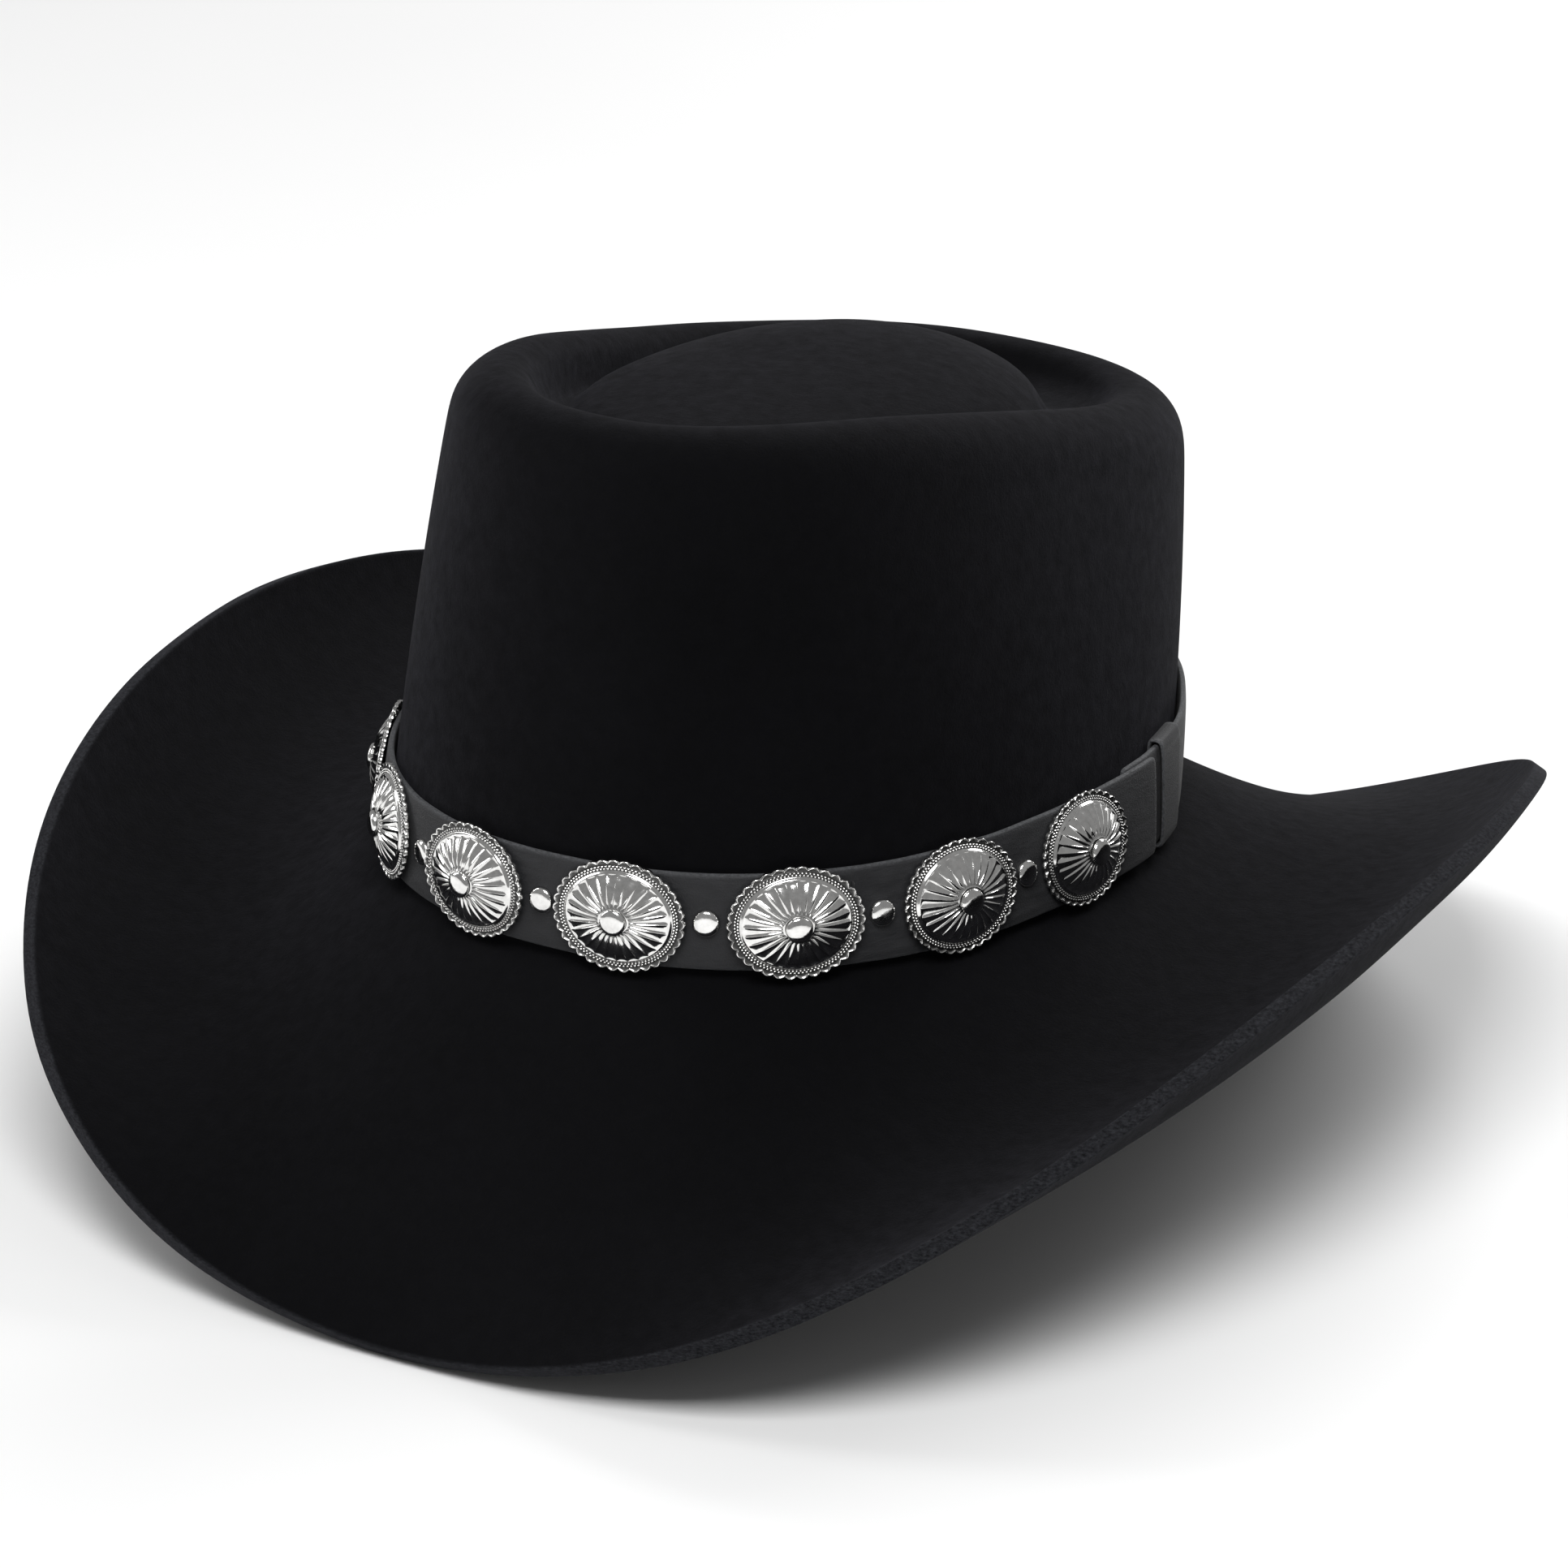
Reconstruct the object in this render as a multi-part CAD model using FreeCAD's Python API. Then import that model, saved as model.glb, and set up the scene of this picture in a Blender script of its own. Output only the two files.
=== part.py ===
"""Western felt hat with a concho band.

Units are millimetres. The hat's front faces -Y, the wearer's left is +X and +Z is up.
The model is built round the brim break, the oval line where crown and brim meet, at z = 0.
It is moved at the end, so that the origin is under the middle of the hat, level with its lowest point.
"""
import FreeCAD, Part
import math
import os

V = FreeCAD.Vector

# ---- Felt ----
FELT = 4.0                 # thickness of the pressed felt
BASE_A = 105.5             # outer felt at the brim break: half length, front to back
BASE_B = 90.3              # and half width
BASE_EGG = 0.005           # how much fuller the back half is than the front half
BASE_SQUARE = 2.15         # superellipse exponent, where 2 is an ellipse

# Brim: each tuple holds the factors of 1, cos t, cos 2t, ... where t runs from the front (0)
# through the wearer's left (90 degrees) to the back (180 degrees).
BRIM_WIDTH = (101.5, -3.7, 6.0, -0.8)            # along the felt, from break to cut edge
BREAK_SLOPE = (-34.6, -6.0, -5.8, 4.6)           # slope where the brim leaves the crown, degrees
EDGE_SLOPE = (32.3, -5.2, -54.9, -5.6, -13.8)   # slope at the cut edge, degrees
CURL_POWER = (2.0, -0.08, 0.5)                   # above 1, the slope changes late, near the edge

# Crown: a telescope crown, with a rim ridge, a ring valley and a raised middle
RIM_A = 111.7
RIM_B = 74.8
RIM_Y = 13.7               # the rim oval's middle is this far behind the base oval's
RIM_EGG = 0.1
RIM_SQUARE = 2.37
RIM_HEIGHT = (109.3, 20.1, -0.6, -2.5)    # factors of 1, cos t, cos 2t, cos 3t
RIM_OUTER_R = 13.2         # roundness of the rim ridge, outside and inside its crest
RIM_INNER_R = 7.7
WALL_BULGE = 1.3           # how far the wall swells at mid height
VALLEY_FLOOR = (97.0, 13.0)               # its height
DOME_A = 76.0
DOME_B = 53.0
DOME_Y = 14.0
DOME_TOP = 114.5
DOME_FULLNESS = 2.2        # 2 is an ellipse in section; more is flatter on top and steeper at the foot

# ---- Band ----
STRAP_H = 23.5
STRAP_T = 1.8
STRAP_Z = 2.2              # lower edge above the break
STRAP_GAP = 0.4            # clear of the felt
OUTER_END = 174.0          # places along the strap, counted from the front towards the left
INNER_END = 162.0
LAP_RISE = 40.0            # length over which the outer layer climbs onto the inner one
LAYER_GAP = 0.2
KEEPER_AT = 186.0
KEEPER_W = 13.0
KEEPER_T = 0.8
KEEPER_CLEAR = 0.6
KEEPER_LIFT = 2.0          # how far the strap stands off the felt inside the keeper
KEEPER_PLAY = 3.0          # room for the keeper to slide, each way, where the strap stands off
KEEPER_RISE = 28.0         # length over which the strap leaves the felt on each side of that
CONCHO_PITCH = 41.4
CONCHO_SHIFT = -3.2        # the row's middle is this far to the wearer's left of the front
CONCHO_GAP = 0.1           # between a concho's flat back and the strap's face
CONCHO_COUNT = 8
CONCHO_W = 32.0
CONCHO_H = 27.0
CONCHO_RISE = 4.6          # from the back of the rim to the top of the dome
CONCHO_T = 0.8
SCALLOPS = 34
SCALLOP_DEPTH = 0.55
RIVET_CAP_R = 3.2
RIVET_CAP_H = 1.6
RIVET_SHANK_R = 1.4
RIVET_FLANGE_R = 2.8
RIVET_FLANGE_T = 0.5
RIVET_RECESS = 0.9         # depth of the flange's pocket in the back of the strap
HOLE_CLEAR = 0.05

# ---- Inside ----
SWEAT_T = 1.2
SWEAT_TOP = 47.0
SWEAT_BOTTOM = 0.6
BACK_SLIT = 0.9
REED_R = 1.0
THREAD_R = 0.3
LINING_T = 0.4
LINING_FOOT = 26.0
LINING_TOP = 70.0
LINING_TILT = 9.0
PIPING_R = 0.9
BOW_HEIGHT = 20.0

COLUMNS = 72               # control points round the oval


# ---- Small helpers ----

def series(factors, t):
    """Sum of factors[k] * cos(k t)."""
    return sum(f * math.cos(k * t) for k, f in enumerate(factors))


def smooth(x):
    """0 below 0, 1 above 1, and an S curve between."""
    x = min(max(x, 0.0), 1.0)
    return x * x * (3 - 2 * x)


def oval(t, a, b, egg=0.0, y=0.0, power=2.0):
    """A point of an egg-shaped oval; t = 0 is the front."""
    c, s = math.cos(t), math.sin(t)
    r = (abs(c) ** power + abs(s) ** power) ** (-1 / power)
    return V(b * s * r * (1 - egg * c), y - a * c * r, 0)


def outward(t, curve):
    """Unit normal in the XY plane of curve(t), pointing away from the middle."""
    step = 1e-4
    along = curve(t + step) - curve(t - step)
    return V(along.y, -along.x, 0).normalize()


def angles():
    return [2 * math.pi * i / COLUMNS for i in range(COLUMNS)]


# ---- Surfaces and solids from rows of control points ----

def knots(count, degree):
    inner = count - degree
    return [degree + 1] + [1] * (inner - 1) + [degree + 1], [float(i) for i in range(inner + 1)]


def skin(rows, closed=True, smooth_across=True):
    """A surface through rows of control points: cubic along each row, cubic or ruled across them."""
    poles = [list(column) for column in zip(*rows)]
    across = min(3, len(rows) - 1) if smooth_across else 1
    v_mults, v_knots = knots(len(rows), across)
    if closed:
        u_mults = [1] * (len(poles) + 1)
        u_knots = [float(i) for i in range(len(poles) + 1)]
    else:
        u_mults, u_knots = knots(len(poles), 3)
    surface = Part.BSplineSurface()
    surface.buildFromPolesMultsKnots(poles, u_mults, v_mults, u_knots, v_knots, closed, False, 3, across)
    return surface.toShape()


def solid_of(faces):
    shell = Part.Compound(faces)
    shell.sewShape()
    solid = Part.makeSolid(shell.Shells[0])
    if solid.Volume < 0:
        solid.reverse()
    return solid


def end_cap(face, rows, last):
    """A flat face that closes a closed skin at its first or last row."""
    wanted = rows[-1 if last else 0]
    middle = sum(wanted, V()) * (1 / len(wanted))
    edge = min(face.Edges, key=lambda e: (e.CenterOfMass - middle).Length if e.isClosed() else 1e9)
    return Part.Face(Part.Wire([edge]))


def shell_solid(top, under):
    """A closed sheet: its top and underside rows run from the outer edge to a small flat loop."""
    top_face, under_face = skin(top), skin(under)
    edge = skin([top[0], under[0]], smooth_across=False)
    caps = [end_cap(top_face, top, True), end_cap(under_face, under, True)]
    return solid_of([top_face, under_face, edge] + caps)


def ring_solid(outer, inner):
    """A closed band: outer and inner rows run from its lower edge to its upper edge."""
    faces = [skin(outer), skin(inner)]
    faces += [skin([outer[i], inner[i]], smooth_across=False) for i in (0, -1)]
    return solid_of(faces)


def strip_solid(outer, inner):
    """An open band with two square ends."""
    faces = [skin(rows, closed=False) for rows in (outer, inner)]
    faces += [skin([outer[i], inner[i]], closed=False, smooth_across=False) for i in (0, -1)]
    for i in (0, -1):
        end = Part.BSplineSurface()
        corners = [[outer[0][i], outer[-1][i]], [inner[0][i], inner[-1][i]]]
        end.buildFromPolesMultsKnots(corners, [2, 2], [2, 2], [0.0, 1.0], [0.0, 1.0], False, False, 1, 1)
        faces.append(end.toShape())
    return solid_of(faces)


def tube_ring(centre, radius, sides=8):
    """A closed cord whose middle runs through centre(t)."""
    reach = radius * 3 / (2 + math.cos(2 * math.pi / sides))
    poles = []
    for t in angles():
        step = 1e-3
        along = (centre(t + step) - centre(t - step)).normalize()
        out = along.cross(V(0, 0, 1)).normalize()
        up = out.cross(along)
        turns = [2 * math.pi * k / sides for k in range(sides)]
        poles.append([centre(t) + out * (reach * math.cos(a)) + up * (reach * math.sin(a)) for a in turns])
    u_knots, v_knots = [[float(i) for i in range(n + 1)] for n in (len(poles), sides)]
    surface = Part.BSplineSurface()
    surface.buildFromPolesMultsKnots(poles, [1] * len(u_knots), [1] * len(v_knots), u_knots, v_knots,
                                     True, True, 3, 3)
    solid = Part.makeSolid(Part.makeShell([surface.toShape()]))
    if solid.Volume < 0:
        solid.reverse()
    return solid


# ---- The felt ----

def base(t):
    return oval(t, BASE_A, BASE_B, BASE_EGG, power=BASE_SQUARE)


def rim(t):
    return oval(t, RIM_A, RIM_B, RIM_EGG, RIM_Y, RIM_SQUARE)


def brim_points(t, places):
    """(distance out, height) of the brim's top at the given fractions of its width."""
    steps = 60
    width = series(BRIM_WIDTH, t)
    first, last = series(BREAK_SLOPE, t), series(EDGE_SLOPE, t)
    power = series(CURL_POWER, t)
    r, z, found = 0.0, 0.0, [(0.0, 0.0)]
    for i in range(steps):
        slope = math.radians(first + (last - first) * ((i + 0.5) / steps) ** power)
        r += math.cos(slope) * width / steps
        z += math.sin(slope) * width / steps
        found.append((r, z))
    out = []
    for place in places:
        k = min(int(place * steps), steps - 1)
        w = place * steps - k
        here, ahead = found[k], found[k + 1]
        out.append((here[0] * (1 - w) + ahead[0] * w, here[1] * (1 - w) + ahead[1] * w))
    return out


def wall(t, z, out=0.0):
    """A point of the crown's outer wall at height z, moved outward by out."""
    top = series(RIM_HEIGHT, t) - RIM_OUTER_R
    v = z / top
    ring = lambda a: base(a) * (1 - v) + rim(a) * v
    across = outward(t, ring)
    return ring(t) + across * (WALL_BULGE * 4 * v * (1 - v) + out) + V(0, 0, z)


def crown_column(t):
    """Control points up the wall, over the rim ridge, through the valley and onto the raised middle."""
    height = series(RIM_HEIGHT, t)
    wall_top = height - RIM_OUTER_R
    column = [wall(t, z) for z in (2.0, 5.0)]
    column += [wall(t, wall_top * v) for v in (0.1, 0.18, 0.28, 0.4, 0.52, 0.64, 0.76, 0.86, 0.94, 1.0)]
    n = outward(t, rim)
    for degrees in (25, 50, 72, 90):
        a = math.radians(degrees)
        inward, drop = RIM_OUTER_R * (1 - math.cos(a)), RIM_OUTER_R * (1 - math.sin(a))
        column.append(rim(t) - n * inward + V(0, 0, height - drop))
    for degrees in (25, 50, 68):
        a = math.radians(degrees)
        inward, drop = RIM_INNER_R * math.sin(a), RIM_INNER_R * (1 - math.cos(a))
        column.append(rim(t) - n * (RIM_OUTER_R + inward) + V(0, 0, height - drop))
    crest_to_floor = column[-1]
    foot = oval(t, DOME_A, DOME_B, 0.0, DOME_Y)
    floor_z = series(VALLEY_FLOOR, t)
    column.append(crest_to_floor * 0.5 + V(foot.x, foot.y, floor_z) * 0.5 + V(0, 0, -2.0))
    column.append(V(foot.x, foot.y, floor_z))
    for share in (0.93, 0.84, 0.72, 0.58, 0.43, 0.28, 0.14, 0.06):
        level = floor_z + (DOME_TOP - floor_z) * math.sqrt(1 - share ** DOME_FULLNESS)
        flat = smooth((share - 0.06) / 0.3)
        z = level * flat + DOME_TOP * (1 - flat)
        p = oval(t, DOME_A * share, DOME_B * share, 0.0, DOME_Y)
        column.append(V(p.x, p.y, z))
    return column


BRIM_PLACES = (1.0, 0.97, 0.92, 0.86, 0.79, 0.71, 0.62, 0.53,
               0.44, 0.35, 0.26, 0.17, 0.09, 0.045, 0.02, 0.0)


def felt_column(t):
    n = outward(t, base)
    brim = [base(t) + n * r + V(0, 0, z) for r, z in brim_points(t, BRIM_PLACES)]
    return brim + crown_column(t)


def offset_rows(rows, distance):
    """The same rows moved along the surface's normal, away from the outside."""
    moved = []
    for j, row in enumerate(rows):
        before, after = rows[max(j - 1, 0)], rows[min(j + 1, len(rows) - 1)]
        new = []
        for i, p in enumerate(row):
            along = row[(i + 1) % len(row)] - row[i - 1]
            across = after[i] - before[i]
            new.append(p - along.cross(across).normalize() * distance)
        moved.append(new)
    if distance:
        level = sum(p.z for p in moved[-1]) / len(moved[-1])
        moved[-1] = [V(p.x, p.y, level) for p in moved[-1]]
    return moved


def felt_body():
    top = [list(row) for row in zip(*[felt_column(t) for t in angles()])]
    return shell_solid(top, offset_rows(top, FELT))


# ---- Places round the band ----

def arc_table(steps=1440):
    """(length from the front, t) along the strap's middle line."""
    line = lambda t: base(t) + outward(t, base) * (STRAP_GAP + STRAP_T / 2)
    table, length, last = [(0.0, 0.0)], 0.0, line(0.0)
    for i in range(1, steps + 1):
        t = 2 * math.pi * i / steps
        here = line(t)
        length += (here - last).Length
        table.append((length, t))
        last = here
    return table


ARC = arc_table()
AROUND = ARC[-1][0]


def angle_at(s):
    """t at a length s along the strap; s may be negative or more than one turn."""
    turns = math.floor(s / AROUND)
    s -= turns * AROUND
    low, high = 0, len(ARC) - 1
    while high - low > 1:
        middle = (low + high) // 2
        if ARC[middle][0] <= s:
            low = middle
        else:
            high = middle
    w = (s - ARC[low][0]) / (ARC[high][0] - ARC[low][0])
    return ARC[low][1] * (1 - w) + ARC[high][1] * w


def lift(s):
    """How far the strap's inner face stands off the felt. s runs from OUTER_END backwards round the hat."""
    near = abs((s if s > 0 else s + AROUND) - KEEPER_AT)
    pad = smooth(1 - (near - KEEPER_W / 2 - KEEPER_PLAY) / KEEPER_RISE)
    standing = STRAP_GAP + (KEEPER_LIFT - STRAP_GAP) * pad
    if 0 < s <= OUTER_END:
        standing += (STRAP_T + LAYER_GAP) * smooth((s - INNER_END) / LAP_RISE + 1)
    return standing


def band_point(s, z, out):
    return wall(angle_at(s), z, out)


def band_frame(s, out, middle=STRAP_Z + STRAP_H / 2, climb=0.0):
    """Origin at a height on the band, with the directions along, up and outward.

    climb is how much out grows for each millimetre along the band.
    """
    origin = band_point(s, middle, out)
    along = (band_point(s + 1, middle, out + climb) - band_point(s - 1, middle, out - climb)).normalize()
    up = (band_point(s, middle + 4, out) - band_point(s, middle - 4, out)).normalize()
    face = along.cross(up).normalize()
    return origin, along, face.cross(along), face


def placed(shape, frame):
    """Moves a shape drawn with X along, Y up and Z outward to a place on the band."""
    origin, along, up, face = frame
    matrix = FreeCAD.Matrix(along.x, up.x, face.x, origin.x,
                            along.y, up.y, face.y, origin.y,
                            along.z, up.z, face.z, origin.z,
                            0, 0, 0, 1)
    shape = shape.copy()
    shape.Placement = FreeCAD.Placement(matrix)
    return shape


def concho_places():
    middle = (CONCHO_COUNT - 1) / 2
    return [CONCHO_SHIFT + (k - middle) * CONCHO_PITCH for k in range(CONCHO_COUNT)]


def stud_places():
    places = concho_places()
    return [(a + b) / 2 for a, b in zip(places, places[1:])]


def strap_face(s, gap=0.0):
    """A frame on the strap's face, or gap above it."""
    return band_frame(s, lift(s) + STRAP_T + gap, climb=(lift(s + 1) - lift(s - 1)) / 2)


# ---- Band pieces ----

def hatband_strap():
    """One strap: from its outer end at the left rear, over the front and round to its inner end below."""
    length = OUTER_END + AROUND - INNER_END
    count = 130
    places = [OUTER_END - length * i / (count - 1) for i in range(count)]
    rows = []
    for out in (STRAP_T, 0.0):
        rows.append([[band_point(s, z, lift(s) + out) for s in places]
                     for z in (STRAP_Z, STRAP_Z + STRAP_H)])
    strap = strip_solid(*rows)
    holes = []
    for s in concho_places() + stud_places():
        bore = Part.makeCylinder(RIVET_SHANK_R + HOLE_CLEAR, 3 * STRAP_T, V(0, 0, -2 * STRAP_T))
        recess = Part.makeCylinder(RIVET_FLANGE_R + HOLE_CLEAR, STRAP_T, V(0, 0, RIVET_RECESS - 2 * STRAP_T))
        holes += [placed(bore, strap_face(s)), placed(recess, strap_face(s))]
    return strap.cut(Part.Compound(holes)).Solids[0]


def ellipse_ring(a, b, z, lobes=0, depth=0.0, count=None):
    """A closed curve at height z, with a scalloped outline if lobes are given."""
    count = count or (lobes * 6 if lobes else 48)
    points = []
    for i in range(count):
        t = 2 * math.pi * i / count
        ripple = depth * (abs(math.cos(lobes * t / 2)) - 0.5) if lobes else 0.0
        n = V(math.cos(t) / a, math.sin(t) / b, 0).normalize()
        points.append(V(a * math.cos(t), b * math.sin(t), z) + n * ripple)
    curve = Part.BSplineCurve()
    curve.interpolate(Points=points, PeriodicFlag=True)
    return Part.Wire([curve.toShape()])


def concho():
    """An oval stamping: scalloped flat rim, raised step and dome, open behind, with a rivet hole."""
    a, b = CONCHO_W / 2, CONCHO_H / 2
    plate = Part.Face(ellipse_ring(a, b, 0.0, SCALLOPS, SCALLOP_DEPTH)).extrude(V(0, 0, CONCHO_T))
    shape = plate
    for share, top in ((0.86, CONCHO_T + 0.5), (0.78, CONCHO_T + 0.9)):
        step = Part.Face(ellipse_ring(a * share, b * share, 0.0)).extrude(V(0, 0, top))
        shape = shape.fuse(step)
    shape = shape.fuse(dome(a * 0.74, b * 0.74, CONCHO_T + 0.7, CONCHO_RISE))
    shape = shape.cut(dome(a * 0.74 - CONCHO_T, b * 0.74 - CONCHO_T, -0.01, CONCHO_RISE - CONCHO_T))
    hole = Part.makeCylinder(RIVET_SHANK_R + HOLE_CLEAR, 2 * CONCHO_RISE, V(0, 0, -1))
    return shape.cut(hole).Solids[0]


def dome(a, b, low, high):
    """A low dome over an ellipse, with straight sides below the level low."""
    rings = [(1.0, min(low, 0.0)), (1.0, low + 0.01)]
    for share in (0.96, 0.88, 0.76, 0.6, 0.42, 0.24):
        rings.append((share, low + (high - low) * math.sqrt(1 - share ** 2)))
    wires = [ellipse_ring(a * share, b * share, z) for share, z in rings[1:]]
    lower = Part.Face(ellipse_ring(a, b, rings[0][1])).extrude(V(0, 0, rings[1][1] - rings[0][1]))
    return lower.fuse(Part.makeLoft(wires, True, False))


def rivet(base_z):
    """Domed cap whose underside is base_z above the strap's face, a shank through it and a back flange."""
    grip = base_z + STRAP_T - RIVET_RECESS
    sphere_r = (RIVET_CAP_R ** 2 + RIVET_CAP_H ** 2) / (2 * RIVET_CAP_H)
    ball = Part.makeSphere(sphere_r, V(0, 0, base_z + RIVET_CAP_H - sphere_r))
    cap = ball.common(Part.makeCylinder(RIVET_CAP_R, RIVET_CAP_H * 0.82, V(0, 0, base_z)))
    shank = Part.makeCylinder(RIVET_SHANK_R, grip + RIVET_FLANGE_T, V(0, 0, base_z - grip - RIVET_FLANGE_T))
    flange = Part.makeCylinder(RIVET_FLANGE_R, RIVET_FLANGE_T, V(0, 0, base_z - grip - RIVET_FLANGE_T))
    return cap.fuse([shank, flange]).Solids[0]


def keeper_centre():
    """Middle of the strap's curve where the keeper slides, found from three points."""
    a, b, c = [band_point(KEEPER_AT + d, STRAP_Z + STRAP_H / 2, KEEPER_LIFT + STRAP_T / 2)
               for d in (-15, 0, 15)]
    for p in (a, b, c):
        p.z = 0
    return Part.Arc(a, b, c).toShape().Curve.Center


def strap_keeper():
    """A leather loop round the inner layer of the strap, turned about the centre of the strap's curve."""
    centre = keeper_centre()
    t = angle_at(KEEPER_AT)
    low, high = STRAP_Z - KEEPER_CLEAR, STRAP_Z + STRAP_H + KEEPER_CLEAR
    near, far = KEEPER_LIFT - KEEPER_CLEAR, KEEPER_LIFT + STRAP_T + KEEPER_CLEAR

    def loop(grow):
        corners = [(low, near), (low, far), (high, far), (high, near)]
        signs = [(-1, -1), (-1, 1), (1, 1), (1, -1)]
        points = [wall(t, z + grow * sz, out + grow * so) - centre
                  for (z, out), (sz, so) in zip(corners, signs)]
        points = [centre + ray * math.hypot(p.x, p.y) + V(0, 0, p.z) for p in points]
        return Part.makePolygon(points + points[:1])

    ray = band_point(KEEPER_AT, STRAP_Z, KEEPER_LIFT) - centre
    ray.z = 0
    half = math.degrees(KEEPER_W / 2 / ray.Length)
    ray.normalize()
    wires = [Part.Wire(loop(grow).Edges) for grow in (KEEPER_T, 0.0)]
    section = Part.Face(wires, "Part::FaceMakerBullseye")
    section.rotate(centre, V(0, 0, 1), -half)
    return section.revolve(centre, V(0, 0, 1), 2 * half).Solids[0]


def band_tacks():
    """Four short thread tacks on the strap's face, between the fasteners."""
    tacks = []
    beside = CONCHO_PITCH * 2 - 7
    for s in (CONCHO_SHIFT + beside, CONCHO_SHIFT - beside, AROUND / 2 - 40, AROUND / 2 + 40):
        stitch = Part.makeCylinder(THREAD_R, 3.0, V(0, STRAP_H / 2 - 6.0, THREAD_R + 0.02), V(0, 1, 0))
        tacks.append(placed(stitch, strap_face(s)))
    return Part.Compound(tacks)


# ---- Inside pieces ----

def inner_rows(profile, thickness):
    """Rows for a band inside the crown: profile lists (height, depth inside the felt's outer face)."""
    outer = [[wall(t, z, -d) for t in angles()] for z, d in profile]
    inner = [[wall(t, z, -d - thickness) for t in angles()] for z, d in profile]
    return outer, inner


SWEAT_PROFILE = ((SWEAT_BOTTOM, FELT + 2.9), (4.0, FELT + 2.7), (8.0, FELT + 1.7), (14.0, FELT + 1.3),
                 (26.0, FELT + 1.3), (38.0, FELT + 1.3), (SWEAT_TOP, FELT + 1.3))


def sweatband():
    ring = ring_solid(*inner_rows(SWEAT_PROFILE, SWEAT_T))
    slit = Part.makeBox(BACK_SLIT, 40, 4 * SWEAT_TOP, V(-BACK_SLIT / 2, BASE_A - 30, -SWEAT_TOP))
    return ring.cut(slit).Solids[0]


def sweatband_reed():
    return tube_ring(lambda t: wall(t, SWEAT_BOTTOM + REED_R, -FELT - 1.6), REED_R)


def sweatband_thread():
    """The row of stitches above the reed, as one flat-sided thread."""
    profile = [(z, FELT + 2.95 + SWEAT_T) for z in (3.2 - THREAD_R, 3.2 + THREAD_R)]
    return ring_solid(*inner_rows(profile, THREAD_R))


def patch(s_middle, half, z_low, z_high, depth, thickness):
    """A small curved panel inside the crown, depth inside the felt's outer face."""
    places = [s_middle + half * (i / 4 - 1) for i in range(9)]
    rows = [[[band_point(s, z, -depth - extra) for s in places] for z in (z_low, z_high)]
            for extra in (0.0, thickness)]
    return strip_solid(*rows)


BOW_DEPTH = FELT + 1.3 + SWEAT_T + 0.3


def sweatband_back_tape():
    return patch(AROUND / 2, 6.0, 15.0, SWEAT_TOP - 1.0, BOW_DEPTH, 0.5)


def sweatband_bow():
    """Two flat loops and a knot of narrow ribbon."""
    frame = band_frame(AROUND / 2, -BOW_DEPTH - 2.1, BOW_HEIGHT)
    bow = Part.makeBox(4.0, 4.4, 1.9, V(-2.0, -2.2, -1.9))
    for side in (-1, 1):
        outline = [V(0, -1.2, 0), V(side * 13, -4.6, 0), V(side * 13, 4.6, 0), V(0, 1.2, 0)]
        loop = Part.Face(Part.makePolygon(outline + outline[:1])).extrude(V(0, 0, -1.4))
        bow = bow.fuse(loop)
    return placed(bow.Solids[0], frame)


def size_tab():
    return patch(AROUND / 2 - 60, 9.0, SWEAT_TOP - 12.0, SWEAT_TOP + 3.0, FELT + 1.0, 0.2)


def lining_rim(t, inset=0.0):
    top = LINING_TOP + LINING_TILT * math.cos(t)
    return wall(t, top, -FELT - 1.2 - inset)


def lining_side():
    def row(share, extra):
        depth = FELT + 0.22 + 0.26 * share + extra
        return [wall(t, LINING_FOOT + share * (lining_rim(t).z - LINING_FOOT), -depth) for t in angles()]
    shares = (0.0, 0.2, 0.4, 0.6, 0.8, 1.0)
    return ring_solid([row(s, 0.0) for s in shares], [row(s, LINING_T) for s in shares])


def tip_rows(largest, drop):
    """Rows of an oval panel, from its edge to a small flat loop in the middle."""
    edge = [lining_rim(t, 1.2) for t in angles()]
    middle = sum(edge, V()) * (1 / len(edge))
    rows = []
    for share in [largest * f for f in (1.0, 0.9, 0.75, 0.58, 0.4, 0.22, 0.06)]:
        level = 1.0 if share > 0.5 else smooth((share - 0.06) / 0.44)
        row = []
        for p in edge:
            q = middle + (p - middle) * share
            row.append(V(q.x, q.y, middle.z + (q.z - middle.z) * level + 1.5 * (1 - share ** 2) - drop))
        rows.append(row)
    return rows


def lining_tip():
    rows = tip_rows(1.0, 0.0)
    return shell_solid(rows, [[p - V(0, 0, LINING_T) for p in row] for row in rows])


def lining_tip_shield():
    rows = tip_rows(0.86, LINING_T + 0.15)
    return shell_solid(rows, [[p - V(0, 0, 0.25) for p in row] for row in rows])


def lining_piping():
    return tube_ring(lambda t: lining_rim(t, LINING_T + PIPING_R) - V(0, 0, PIPING_R + 1.0), PIPING_R)


# ---- Build ----

def pieces():
    made = {
        "felt_body": felt_body(),
        "hatband_strap": hatband_strap(),
        "strap_keeper": strap_keeper(),
        "band_tacks": band_tacks(),
        "sweatband": sweatband(),
        "sweatband_reed": sweatband_reed(),
        "sweatband_thread": sweatband_thread(),
        "sweatband_back_tape": sweatband_back_tape(),
        "sweatband_bow": sweatband_bow(),
        "size_tab": size_tab(),
        "lining_side": lining_side(),
        "lining_tip": lining_tip(),
        "lining_piping": lining_piping(),
        "lining_tip_shield": lining_tip_shield(),
    }
    one_concho = concho()
    for number, s in enumerate(concho_places(), 1):
        made[f"concho_{number}"] = placed(one_concho, strap_face(s, CONCHO_GAP))
        made[f"concho_rivet_{number}"] = placed(rivet(CONCHO_RISE + CONCHO_GAP), strap_face(s))
    for number, s in enumerate(stud_places(), 1):
        made[f"spot_stud_{number}"] = placed(rivet(HOLE_CLEAR), strap_face(s))
    return made


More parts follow.
